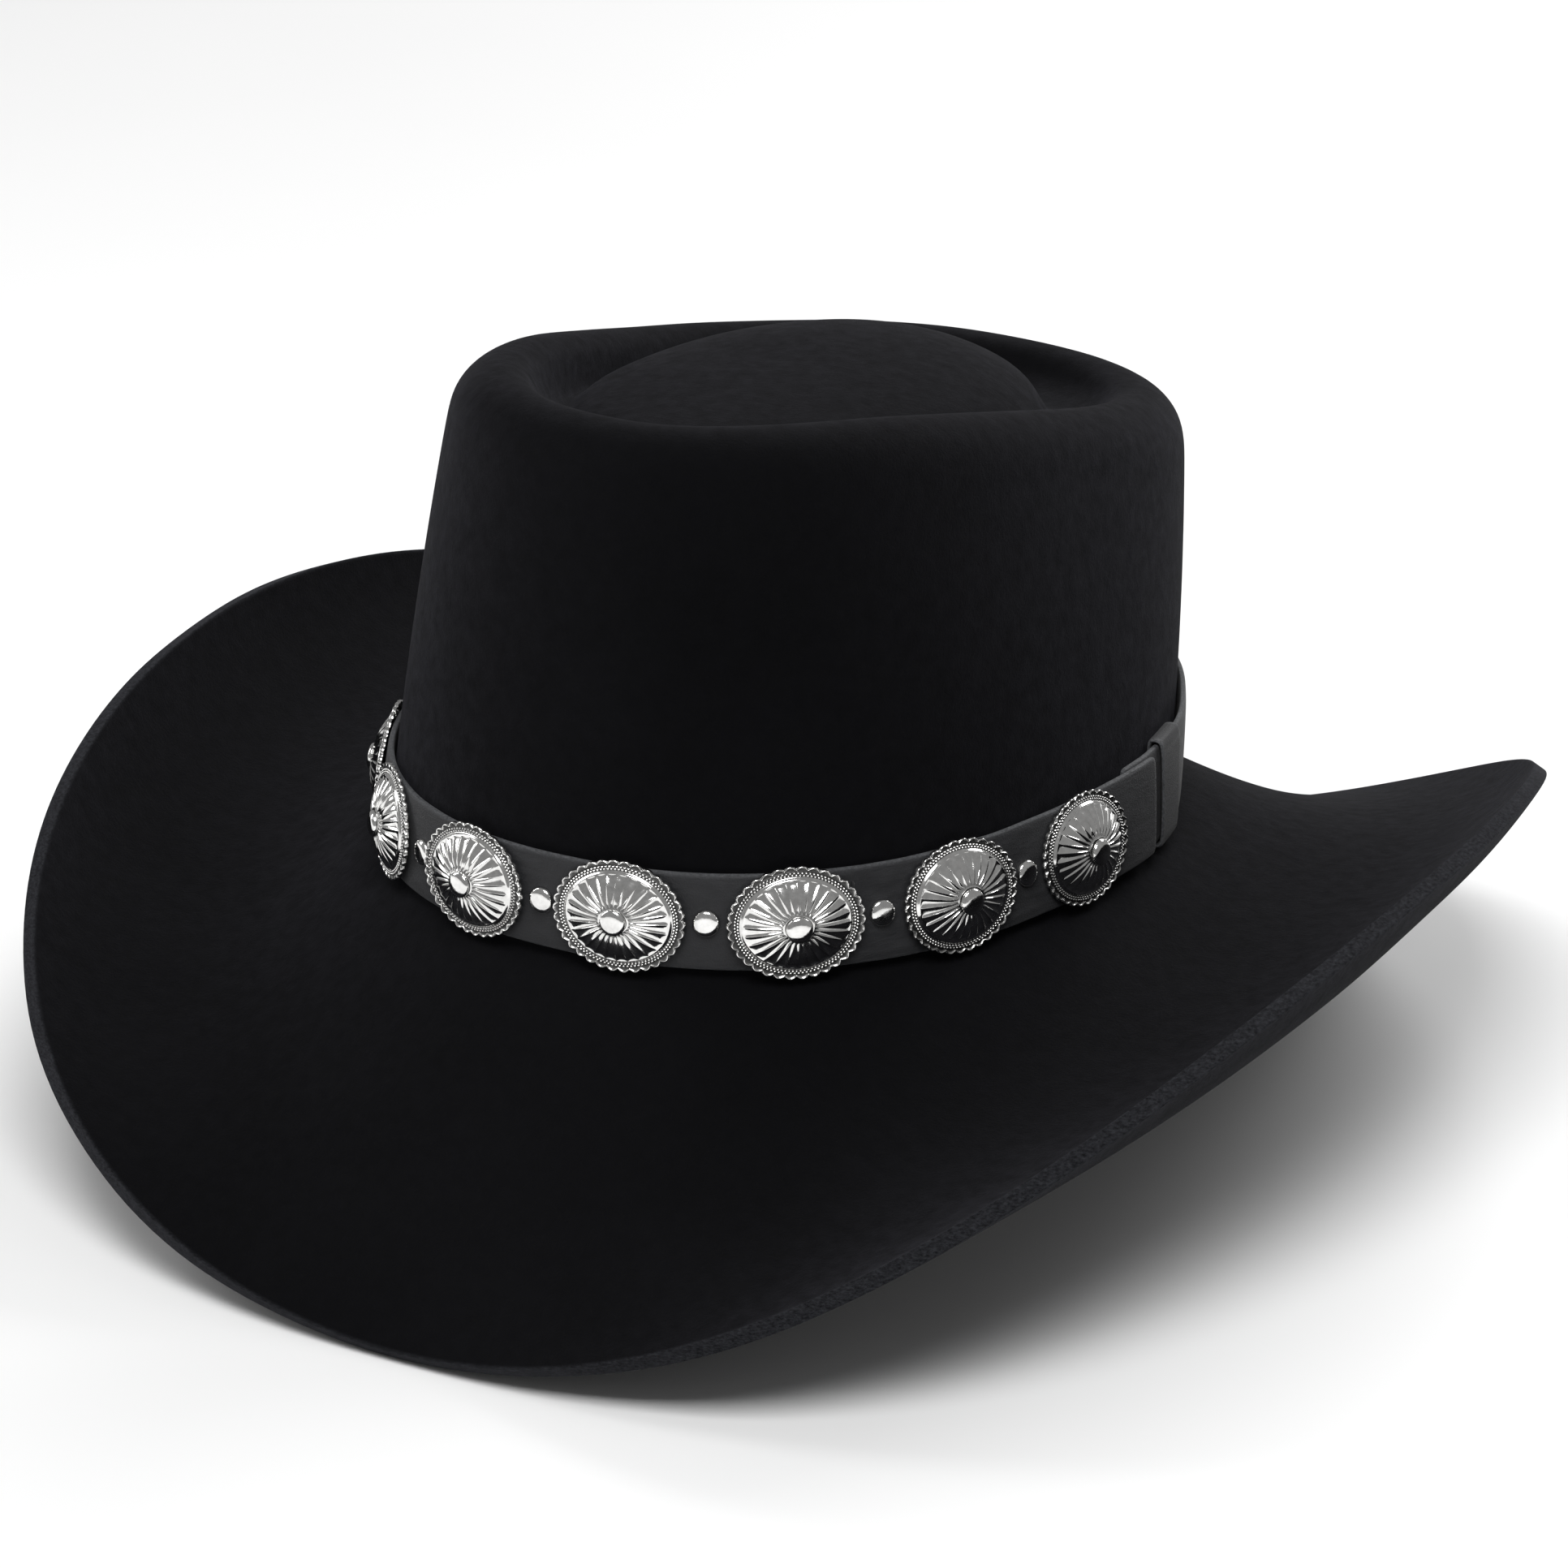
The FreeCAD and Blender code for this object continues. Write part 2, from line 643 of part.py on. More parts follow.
def main():
    os.makedirs("parts", exist_ok=True)
    made = pieces()
    box = made["felt_body"].optimalBoundingBox(False)
    move = V(-(box.XMin + box.XMax) / 2, -(box.YMin + box.YMax) / 2, -box.ZMin)
    for name, shape in made.items():
        shape = shape.copy()
        shape.translate(move)
        shape.exportStep(f"parts/{name}.step")
        print(name, "valid" if shape.isValid() else "INVALID", f"{shape.Volume:.0f} mm3", len(shape.Solids))
    centre = keeper_centre() + move
    print("moved by", [round(c, 2) for c in move], "keeper axis", round(centre.x, 2), round(centre.y, 2))


main()
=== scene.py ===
import math

import bmesh
import bpy
from mathutils import Matrix, Vector, noise


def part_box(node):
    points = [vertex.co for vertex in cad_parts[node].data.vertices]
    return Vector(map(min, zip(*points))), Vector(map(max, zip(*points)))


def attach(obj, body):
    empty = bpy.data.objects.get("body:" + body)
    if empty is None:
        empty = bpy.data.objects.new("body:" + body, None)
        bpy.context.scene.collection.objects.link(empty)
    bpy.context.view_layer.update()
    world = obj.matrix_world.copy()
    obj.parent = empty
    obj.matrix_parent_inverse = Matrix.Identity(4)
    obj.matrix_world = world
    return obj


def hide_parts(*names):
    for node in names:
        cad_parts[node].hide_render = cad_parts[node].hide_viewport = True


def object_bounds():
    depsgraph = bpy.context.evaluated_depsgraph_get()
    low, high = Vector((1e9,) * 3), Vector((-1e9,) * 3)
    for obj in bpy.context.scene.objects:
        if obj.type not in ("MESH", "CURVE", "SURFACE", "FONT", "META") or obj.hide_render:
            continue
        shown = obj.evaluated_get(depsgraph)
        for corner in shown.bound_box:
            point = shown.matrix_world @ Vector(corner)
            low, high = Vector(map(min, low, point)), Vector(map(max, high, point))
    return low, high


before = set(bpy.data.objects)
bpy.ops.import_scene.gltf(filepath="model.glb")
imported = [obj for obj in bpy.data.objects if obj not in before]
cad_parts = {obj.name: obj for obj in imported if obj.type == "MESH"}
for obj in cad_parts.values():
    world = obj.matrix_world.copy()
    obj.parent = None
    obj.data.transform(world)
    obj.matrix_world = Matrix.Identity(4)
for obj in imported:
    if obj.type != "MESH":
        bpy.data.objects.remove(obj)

CAD_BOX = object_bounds()
MM = 0.001
UP = Vector((0, 0, 1))

# ---- Shape of the hat, as in the CAD model, in millimetres with the brim break at z = 0 ----
# t runs round the oval from the front (0) through the wearer's left to the back (pi).
FELT = 4.0
BASE_A, BASE_B, BASE_EGG, BASE_SQUARE = 105.5, 90.3, 0.005, 2.15
BRIM_WIDTH = (101.5, -3.7, 6.0, -0.8)
BREAK_SLOPE = (-34.6, -6.0, -5.8, 4.6)
EDGE_SLOPE = (32.3, -5.2, -54.9, -5.6, -13.8)
CURL_POWER = (2.0, -0.08, 0.5)
RIM_A, RIM_B, RIM_Y, RIM_EGG, RIM_SQUARE = 111.7, 74.8, 13.7, 0.1, 2.37
RIM_HEIGHT = (109.3, 20.1, -0.6, -2.5)
RIM_OUTER_R, RIM_INNER_R = 13.2, 7.7
WALL_BULGE = 1.3
VALLEY_FLOOR = (97.0, 13.0)
DOME_A, DOME_B, DOME_Y, DOME_TOP, DOME_FULLNESS = 76.0, 53.0, 14.0, 114.5, 2.2
COLUMNS = 72

STRAP_H, STRAP_T, STRAP_Z, STRAP_GAP = 23.5, 1.8, 2.2, 0.4
OUTER_END, INNER_END, LAP_RISE, LAYER_GAP = 174.0, 162.0, 40.0, 0.2
KEEPER_AT, KEEPER_W, KEEPER_T, KEEPER_CLEAR = 186.0, 13.0, 0.8, 0.6
KEEPER_LIFT, KEEPER_PLAY, KEEPER_RISE = 2.0, 3.0, 28.0
CONCHO_PITCH, CONCHO_SHIFT, CONCHO_COUNT = 41.4, -3.2, 8
CONCHO_W, CONCHO_H, CONCHO_RISE, CONCHO_GAP = 32.0, 27.0, 4.6, 0.1
CAP_R, CAP_H = 3.2, 1.6

SWEAT_T, SWEAT_TOP, SWEAT_BOTTOM = 1.2, 47.0, 0.6
LINING_T, LINING_FOOT, LINING_TOP, LINING_TILT = 0.4, 26.0, 70.0, 9.0
PIPING_R, REED_R, THREAD_R = 0.9, 1.0, 0.3
BOW_HEIGHT = 20.0


def series(factors, t):
    return sum(f * math.cos(k * t) for k, f in enumerate(factors))


def smooth(x):
    x = min(max(x, 0.0), 1.0)
    return x * x * (3 - 2 * x)


def oval(t, a, b, egg=0.0, y=0.0, power=2.0):
    c, s = math.cos(t), math.sin(t)
    r = (abs(c) ** power + abs(s) ** power) ** (-1 / power)
    return Vector((b * s * r * (1 - egg * c), y - a * c * r, 0))


def outward(t, curve):
    along = curve(t + 1e-4) - curve(t - 1e-4)
    return Vector((along.y, -along.x, 0)).normalized()


def base(t):
    return oval(t, BASE_A, BASE_B, BASE_EGG, power=BASE_SQUARE)


def rim(t):
    return oval(t, RIM_A, RIM_B, RIM_EGG, RIM_Y, RIM_SQUARE)


def wall(t, z, out=0.0):
    """A point of the crown's outer wall at height z, moved outward by out."""
    v = z / (series(RIM_HEIGHT, t) - RIM_OUTER_R)
    ring = lambda a: base(a) * (1 - v) + rim(a) * v
    return ring(t) + outward(t, ring) * (WALL_BULGE * 4 * v * (1 - v) + out) + UP * z


def brim_points(t, places):
    """(distance out, height) of the brim's top at fractions of its width."""
    steps = 60
    width, power = series(BRIM_WIDTH, t), series(CURL_POWER, t)
    first, last = series(BREAK_SLOPE, t), series(EDGE_SLOPE, t)
    found = [Vector((0, 0))]
    for i in range(steps):
        slope = math.radians(first + (last - first) * ((i + 0.5) / steps) ** power)
        found.append(found[-1] + Vector((math.cos(slope), math.sin(slope))) * (width / steps))
    out = []
    for place in places:
        k = min(int(place * steps), steps - 1)
        out.append(found[k].lerp(found[k + 1], place * steps - k))
    return out


def crown_column(t):
    height = series(RIM_HEIGHT, t)
    column = [wall(t, z) for z in (2.0, 5.0)]
    shares = (0.1, 0.18, 0.28, 0.4, 0.52, 0.64, 0.76, 0.86, 0.94, 1.0)
    column += [wall(t, (height - RIM_OUTER_R) * v) for v in shares]
    n = outward(t, rim)
    for degrees in (25, 50, 72, 90):
        a = math.radians(degrees)
        inward, drop = RIM_OUTER_R * (1 - math.cos(a)), RIM_OUTER_R * (1 - math.sin(a))
        column.append(rim(t) - n * inward + UP * (height - drop))
    for degrees in (25, 50, 68):
        a = math.radians(degrees)
        inward, drop = RIM_INNER_R * math.sin(a), RIM_INNER_R * (1 - math.cos(a))
        column.append(rim(t) - n * (RIM_OUTER_R + inward) + UP * (height - drop))
    floor_z = series(VALLEY_FLOOR, t)
    foot = oval(t, DOME_A, DOME_B, 0.0, DOME_Y) + UP * floor_z
    column.append(column[-1].lerp(foot, 0.5) - UP * 2.0)
    column.append(foot)
    for share in (0.93, 0.84, 0.72, 0.58, 0.43, 0.28, 0.14, 0.06):
        level = floor_z + (DOME_TOP - floor_z) * math.sqrt(1 - share ** DOME_FULLNESS)
        flat = smooth((share - 0.06) / 0.3)
        p = oval(t, DOME_A * share, DOME_B * share, 0.0, DOME_Y)
        column.append(p + UP * (level * flat + DOME_TOP * (1 - flat)))
    return column


def angles(count=COLUMNS):
    return [2 * math.pi * i / count for i in range(count)]


# ---- Places round the band ----

def arc_table(steps=1440):
    line = lambda t: base(t) + outward(t, base) * (STRAP_GAP + STRAP_T / 2)
    table, last = [(0.0, 0.0)], line(0.0)
    for i in range(1, steps + 1):
        here = line(2 * math.pi * i / steps)
        table.append((table[-1][0] + (here - last).length, 2 * math.pi * i / steps))
        last = here
    return table


ARC = arc_table()
AROUND = ARC[-1][0]


def angle_at(s):
    """t at a length s along the strap from the front, positive towards the wearer's left."""
    s -= math.floor(s / AROUND) * AROUND
    low, high = 0, len(ARC) - 1
    while high - low > 1:
        middle = (low + high) // 2
        low, high = (middle, high) if ARC[middle][0] <= s else (low, middle)
    w = (s - ARC[low][0]) / (ARC[high][0] - ARC[low][0])
    return ARC[low][1] * (1 - w) + ARC[high][1] * w


def lift(s):
    near = abs((s if s > 0 else s + AROUND) - KEEPER_AT)
    pad = smooth(1 - (near - KEEPER_W / 2 - KEEPER_PLAY) / KEEPER_RISE)
    standing = STRAP_GAP + (KEEPER_LIFT - STRAP_GAP) * pad
    if 0 < s <= OUTER_END:
        standing += (STRAP_T + LAYER_GAP) * smooth((s - INNER_END) / LAP_RISE + 1)
    return standing


def band_frame(s, out, middle=STRAP_Z + STRAP_H / 2, climb=0.0):
    """A matrix with X along the band, Y up it and Z outward; climb is how much out grows per millimetre."""
    t = angle_at
    origin = wall(t(s), middle, out)
    along = (wall(t(s + 1), middle, out + climb) - wall(t(s - 1), middle, out - climb)).normalized()
    up = (wall(t(s), middle + 4, out) - wall(t(s), middle - 4, out)).normalized()
    face = along.cross(up).normalized()
    matrix = Matrix((along, face.cross(along), face)).transposed().to_4x4()
    matrix.translation = origin
    return matrix


def strap_face(s, gap=0.0):
    """A frame on the strap's face, or gap above it."""
    return band_frame(s, lift(s) + STRAP_T + gap, climb=(lift(s + 1) - lift(s - 1)) / 2)


def concho_places():
    return [CONCHO_SHIFT + (k - (CONCHO_COUNT - 1) / 2) * CONCHO_PITCH for k in range(CONCHO_COUNT)]


def stud_places():
    places = concho_places()
    return [(a + b) / 2 for a, b in zip(places, places[1:])]


# ---- Mesh helpers ----

def frame_shift():
    """From the shape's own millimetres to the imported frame, found by matching the felt's box."""
    low, high = (Vector(c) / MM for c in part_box("felt_body"))
    edge = [base(t) + outward(t, base) * p.x for t in angles(720) for p in brim_points(t, (1.0,))]
    middle = (min(p.y for p in edge) + max(p.y for p in edge)) / 2
    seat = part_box("sweatband_reed")[0][2] / MM - SWEAT_BOTTOM
    return Vector((0, (low.y + high.y) / 2 - middle, seat))


SHIFT = frame_shift()


def make(name, points, faces, material, smooth_faces=True, marks=None):
    """A mesh object from points in the shape's millimetres. marks: attribute to one number per point."""
    mesh = bpy.data.meshes.new(name)
    mesh.from_pydata([(p + SHIFT) * MM for p in points], [], faces)
    for label, values in (marks or {}).items():
        attribute = mesh.attributes.new(label, "FLOAT", "POINT")
        attribute.data.foreach_set("value", values)
    mesh.validate()
    mesh.update()
    if smooth_faces:
        mesh.shade_smooth()
    obj = bpy.data.objects.new(name, mesh)
    bpy.context.scene.collection.objects.link(obj)
    obj.data.materials.append(material)
    return obj


def subdivide(obj, levels):
    modifier = obj.modifiers.new("Subdivision", "SUBSURF")
    modifier.levels = levels
    modifier.render_levels = levels
    return obj


def grid_faces(columns, rows, closed_columns, closed_rows, start=0):
    """Quads over points stored column by column."""
    faces = []
    for i in range(columns if closed_columns else columns - 1):
        for j in range(rows if closed_rows else rows - 1):
            a, b = i, (i + 1) % columns
            c, d = j, (j + 1) % rows
            corners = (a * rows + c, b * rows + c, b * rows + d, a * rows + d)
            faces.append(tuple(start + corner for corner in corners))
    return faces


def loop_mesh(name, columns, material, closed=True, marks=None):
    """A solid swept through closed cross-sections, one list of points each."""
    rows = len(columns[0])
    points = [p for column in columns for p in column]
    faces = grid_faces(len(columns), rows, closed, True)
    if not closed:
        faces.append(tuple(reversed(range(rows))))
        last = (len(columns) - 1) * rows
        faces.append(tuple(range(last, last + rows)))
    obj = make(name, points, faces, material, marks=marks)
    fix_normals(obj)
    return obj


def fix_normals(obj):
    bm = bmesh.new()
    bm.from_mesh(obj.data)
    bmesh.ops.recalc_face_normals(bm, faces=bm.faces)
    bm.to_mesh(obj.data)
    bm.free()


def finish_piece(obj, body, slot, *nodes):
    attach(obj, body)
    if nodes:
        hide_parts(*nodes)
    return obj


def wobble(p, scale, seed):
    """Smooth noise from -1 to 1 at a point in millimetres."""
    return noise.noise(p / scale + Vector((seed, seed * 1.7, seed * 2.3)))


# ---- Materials ----

class Nodes:
    """A short way to build a material's node tree."""

    def __init__(self, name):
        self.material = bpy.data.materials.new(name)
        self.material.use_nodes = True
        self.tree = self.material.node_tree
        self.shader = self.tree.nodes["Principled BSDF"]

    def add(self, kind, inputs=None, **settings):
        node = self.tree.nodes.new("ShaderNode" + kind)
        for key, value in settings.items():
            setattr(node, key, value)
        for key, value in (inputs or {}).items():
            self.put(value, node.inputs[key])
        return node

    def put(self, value, socket):
        if hasattr(value, "links"):
            self.tree.links.new(value, socket)
        elif hasattr(value, "outputs"):
            self.tree.links.new(value.outputs[0], socket)
        else:
            socket.default_value = value

    def set(self, **inputs):
        for key, value in inputs.items():
            self.put(value, self.shader.inputs[key.replace("_", " ")])

    def place(self, scale=(1, 1, 1)):
        """Object coordinates in metres, stretched by scale."""
        coords = self.add("TexCoord")
        return self.add("Mapping", {"Vector": coords.outputs["Object"], "Scale": scale})

    def noise(self, vector, scale, detail=3.0, roughness=0.5):
        inputs = {"Vector": vector, "Scale": scale, "Detail": detail, "Roughness": roughness}
        return self.add("TexNoise", inputs)

    def ramp(self, value, low, high, start=0.3, end=0.7):
        node = self.add("ValToRGB", {"Fac": value})
        for element, place, colour in zip(node.color_ramp.elements, (start, end), (low, high)):
            element.position = place
            element.color = (*colour, 1) if len(colour) == 3 else colour
        return node

    def grey(self, value, low, high, start=0.3, end=0.7):
        return self.ramp(value, (low,) * 3, (high,) * 3, start, end)

    def mix(self, factor, a, b):
        node = self.add("Mix", data_type="RGBA")
        self.put(factor, node.inputs["Factor"])
        self.put(a, node.inputs["A"])
        self.put(b, node.inputs["B"])
        return node.outputs["Result"]

    def maths(self, operation, a, b=0.0):
        node = self.add("Math", operation=operation)
        self.put(a, node.inputs[0])
        self.put(b, node.inputs[1])
        return node

    def mark(self, name):
        return self.add("Attribute", attribute_name=name).outputs["Fac"]

    def bump(self, height, distance, strength=1.0, under=None):
        node = self.add("Bump", {"Height": height, "Distance": distance, "Strength": strength})
        if under:
            self.put(under, node.inputs["Normal"])
        return node


def felt_material():
    """Pressed felt: near black, with a matted nap, a little lint and a paler, torn-looking cut edge."""
    m = Nodes("black_felt")
    place = m.place()
    broad = m.noise(place, 22, 4)
    nap = m.noise(place, 1500, 6, 0.75)
    clumps = m.noise(place, 260, 4, 0.6)
    scattered = m.add("VectorMath", {0: place, 1: clumps.outputs["Color"]})
    lint = m.add("TexVoronoi", {"Vector": scattered, "Scale": 150.0})
    torn = m.noise(m.place((900, 900, 2200)), 1.0, 5, 0.75)
    dark = m.ramp(broad, (0.0010, 0.0010, 0.0013), (0.0018, 0.0018, 0.0023))
    body = m.mix(m.grey(nap, 0.0, 0.5, 0.48, 0.72), dark, (0.0034, 0.0034, 0.0041, 1))
    speck = m.grey(lint.outputs["Distance"], 0.8, 0.0, 0.012, 0.05)
    body = m.mix(speck, body, (0.030, 0.030, 0.035, 1))
    raw = m.ramp(torn, (0.0040, 0.0041, 0.0048), (0.028, 0.029, 0.033), 0.36, 0.74)
    cut = m.mark("cut_edge")
    m.set(Base_Color=m.mix(cut, body, raw), Roughness=m.grey(nap, 0.82, 0.97))
    m.set(Specular_IOR_Level=0.06, Sheen_Weight=m.grey(clumps, 0.018, 0.042), Sheen_Roughness=0.5,
          Sheen_Tint=(0.8, 0.8, 0.95, 1))
    m.set(Normal=m.bump(nap, 0.0004, 0.45, m.bump(clumps, 0.0005, 0.35)))
    return m.material


def strap_material():
    m = Nodes("strap_leather")
    around = m.add("UVMap").outputs[0]
    wrinkle = m.noise(m.add("Mapping", {"Vector": around, "Scale": (140, 900, 1)}), 1.0, 5, 0.65)
    grain = m.add("TexVoronoi", {"Vector": m.place(), "Scale": 2600.0})
    broad = m.noise(m.place(), 60, 3)
    face = m.ramp(broad, (0.0105, 0.0107, 0.0122), (0.0155, 0.0158, 0.0175))
    face = m.mix(m.grey(wrinkle, 0.0, 0.55, 0.42, 0.68), face, (0.026, 0.0265, 0.029, 1))
    fuzz = m.ramp(m.noise(m.place(), 1500, 3, 0.7), (0.018, 0.019, 0.021), (0.085, 0.088, 0.094))
    m.set(Base_Color=m.mix(m.mark("raw_edge"), face, fuzz), Roughness=m.grey(wrinkle, 0.5, 0.72))
    m.set(Specular_IOR_Level=0.3, Sheen_Weight=0.05, Sheen_Roughness=0.5)
    m.set(Normal=m.bump(grain.outputs["Distance"], 0.00012, 0.5, m.bump(wrinkle, 0.0004, 0.6)))
    return m.material


def silver_material():
    m = Nodes("silver")
    tarnish = m.noise(m.place(), 700, 4, 0.6)
    # painted shade: the mark turns the base colour near black in the stamping's hollows, on its outer rim
    # and round the caps' feet, and also roughens the metal there
    painted_shade = m.mark("painted_shade")
    bright = m.ramp(tarnish, (0.74, 0.735, 0.72), (0.92, 0.915, 0.9))
    dark = m.maths("MULTIPLY", painted_shade, 0.96)
    m.set(Base_Color=m.mix(dark, bright, (0.012, 0.012, 0.012, 1)), Metallic=1.0)
    m.set(Roughness=m.mix(painted_shade, m.grey(tarnish, 0.07, 0.14), (0.45, 0.45, 0.45, 1)))
    m.set(Normal=m.bump(m.noise(m.place(), 1800, 2), 0.00003, 0.35))
    return m.material


def thread_material():
    m = Nodes("thread")
    twist = m.add("TexWave", {"Vector": m.place(), "Scale": 900.0, "Distortion": 1.5})
    m.set(Base_Color=m.ramp(twist, (0.006, 0.006, 0.006), (0.03, 0.03, 0.032)), Roughness=0.7)
    m.set(Normal=m.bump(twist, 0.0002, 0.8))
    return m.material


def sweatband_material():
    m = Nodes("sweatband_leather")
    grain = m.add("TexVoronoi", {"Vector": m.place(), "Scale": 1500.0})
    tone = m.noise(m.place(), 45, 4)
    face = m.ramp(tone, (0.035, 0.022, 0.016), (0.065, 0.042, 0.03))
    pores = m.grey(grain.outputs["Distance"], 0.5, 0.0, 0.05, 0.3)
    m.set(Base_Color=m.mix(pores, face, (0.02, 0.013, 0.01, 1)), Roughness=m.grey(tone, 0.38, 0.52))
    m.set(Specular_IOR_Level=0.45, Normal=m.bump(grain.outputs["Distance"], 0.0002, 0.4))
    return m.material


def woven_material(name, low, high, across, sheen, roughness, depth=0.00015):
    """Cloth with a fine rib or satin float; across is the number of ribs per metre."""
    m = Nodes(name)
    ribs = m.add("TexWave", {"Vector": m.place(), "Scale": across, "Distortion": 0.6, "Detail": 2.0},
                 bands_direction="Z")
    threads = m.add("TexWave", {"Vector": m.place(), "Scale": across * 0.7, "Distortion": 0.8},
                    bands_direction="DIAGONAL")
    tone = m.noise(m.place(), 40, 3)
    face = m.mix(m.grey(ribs, 0.0, 0.4), m.ramp(tone, low, high), tuple(c * 1.8 for c in high) + (1,))
    m.set(Base_Color=face, Roughness=roughness, Sheen_Weight=sheen, Sheen_Roughness=0.3)
    m.set(Normal=m.bump(threads, depth * 0.6, 0.4, m.bump(ribs, depth, 0.6)))
    return m.material


def plastic_material(name, colour, roughness, alpha=1.0):
    m = Nodes(name)
    scuff = m.noise(m.place(), 300, 4)
    m.set(Base_Color=m.mix(m.grey(scuff, 0.0, 0.3), (*colour, 1), tuple(c * 1.4 for c in colour) + (1,)))
    m.set(Roughness=m.grey(scuff, roughness, roughness + 0.15), Normal=m.bump(scuff, 0.0001, 0.3))
    if alpha < 1:
        m.set(Alpha=alpha, Specular_IOR_Level=0.6)
    return m.material


FELT_LOOK = felt_material()
STRAP_LOOK = strap_material()
SILVER_LOOK = silver_material()
THREAD_LOOK = thread_material()
SWEAT_LOOK = sweatband_material()
SATIN_LOOK = woven_material("satin", (0.012, 0.012, 0.015), (0.022, 0.022, 0.027), 900.0, 0.5, 0.34)
RIBBON_LOOK = woven_material("ribbon", (0.008, 0.008, 0.009), (0.016, 0.016, 0.018), 500.0, 0.3, 0.6, 0.0003)
TAB_LOOK = woven_material("tab_ribbon", (0.42, 0.4, 0.35), (0.55, 0.53, 0.47), 600.0, 0.2, 0.7)
REED_LOOK = plastic_material("reed_plastic", (0.02, 0.02, 0.02), 0.5)
FILM_LOOK = plastic_material("clear_film", (0.6, 0.62, 0.63), 0.08, 0.22)


# ---- The felt ----

BRIM_PLACES = (0.992, 0.97, 0.92, 0.86, 0.79, 0.71, 0.62, 0.53, 0.44, 0.35, 0.26, 0.17, 0.09, 0.045,
               0.02, 0.0)
EDGE_ROUND = 0.55


def felt_column(t):
    n = outward(t, base)
    brim = [base(t) + n * p.x + UP * p.y for p in brim_points(t, (1.0,) + BRIM_PLACES)]
    return brim + crown_column(t)


def offset_rows(rows, distance):
    """The same rows moved along the surface's normal, away from the outside."""
    moved = []
    for j, row in enumerate(rows):
        before, after = rows[max(j - 1, 0)], rows[min(j + 1, len(rows) - 1)]
        new = []
        for i, p in enumerate(row):
            along = row[(i + 1) % len(row)] - row[i - 1]
            new.append(p - along.cross(after[i] - before[i]).normalized() * distance)
        moved.append(new)
    return moved


def felt_body():
    """Crown and brim as one thick sheet, with a softened cut edge and a slightly uneven surface."""
    top = [list(row) for row in zip(*[felt_column(t) for t in angles()])]
    for row in top[1:]:
        for i, p in enumerate(row):
            row[i] = p + UP * 0.35 * wobble(p, 34.0, 1)
    under = offset_rows(top, FELT)
    lip = [offset_rows(top, depth)[0] for depth in (EDGE_ROUND, FELT / 2, FELT - EDGE_ROUND)]
    rows = list(reversed(top)) + lip + under
    columns = [list(column) for column in zip(*rows)]
    points = [p for column in columns for p in column]
    count = len(rows)
    faces = grid_faces(len(columns), count, True, False)
    for j in (0, count - 1):
        points.append(sum((columns[i][j] for i in range(COLUMNS)), Vector()) / COLUMNS)
        centre = len(points) - 1
        faces += [(centre, i * count + j, ((i + 1) % COLUMNS) * count + j) for i in range(COLUMNS)]
    first = len(top) - 1
    fade = {j: 1.0 for j in range(first, first + len(lip) + 2)}
    fade.update({first + len(lip) + 2: 0.75, first + len(lip) + 3: 0.35})
    cut = [fade.get(j, 0.0) for _ in columns for j in range(count)] + [0.0, 0.0]
    obj = make("felt", points, faces, FELT_LOOK, marks={"cut_edge": cut})
    fix_normals(obj)
    subdivide(obj, 2)
    return finish_piece(obj, "hat", "black_felt", "felt_body")


# ---- Leather band ----

STRAP_CROWN = 0.12         # how far the middle of the strap's face stands proud of its edges


def strap_section(s, z_low, z_high, near, far, edge=0.45):
    """A closed cross-section of leather with rounded corners, and how raw each point is."""
    t = angle_at(s)
    inner, outer = near + edge, far - edge
    outline = [(z_low, inner), (z_low, (inner + outer) / 2), (z_low, outer), (z_low + edge, far)]
    outline += [(z_low + (z_high - z_low) * f, far + STRAP_CROWN * math.sin(math.pi * f))
                for f in (0.2, 0.4, 0.6, 0.8)]
    outline += [(z_high - edge, far), (z_high, outer), (z_high, (inner + outer) / 2), (z_high, inner)]
    outline += [(z_high - edge, near), ((z_low + z_high) / 2, near), (z_low + edge, near)]
    raw = [1, 1, 0.8, 0, 0, 0, 0, 0, 0, 0.9, 1, 1, 0.3, 0.3, 0.3]
    return [wall(t, z, out) for z, out in outline], raw


def hatband_strap():
    length = OUTER_END + AROUND - INNER_END
    ends = [0.0, 0.3, 0.8]
    count = 190
    places = ends + [1.6 + (length - 3.2) * i / count for i in range(count + 1)]
    places += [length - end for end in reversed(ends)]
    columns, raw, coords = [], [], []
    for run in places:
        s = OUTER_END - run
        close = min(run, length - run)
        tuck = 0.5 * (1 - smooth(close / 1.2))
        ripple = 0.10 * wobble(Vector((s, 0, 0)), 9.0, 3)
        high = STRAP_Z + STRAP_H + ripple - tuck
        near, far = lift(s) + tuck * 0.6, lift(s) + STRAP_T - tuck * 0.6
        section, rawness = strap_section(s, STRAP_Z + tuck, high, near, far)
        columns.append(section)
        raw += [max(r, 1 - smooth(close / 0.7)) for r in rawness]
        coords += [(s * MM, k * 0.002) for k in range(len(section))]
    obj = loop_mesh("strap", columns, STRAP_LOOK, closed=False, marks={"raw_edge": raw})
    layer = obj.data.uv_layers.new(name="UVMap")
    for corner in obj.data.loops:
        layer.data[corner.index].uv = coords[corner.vertex_index]
    subdivide(obj, 2)
    return finish_piece(obj, "hat", "strap_leather", "hatband_strap")


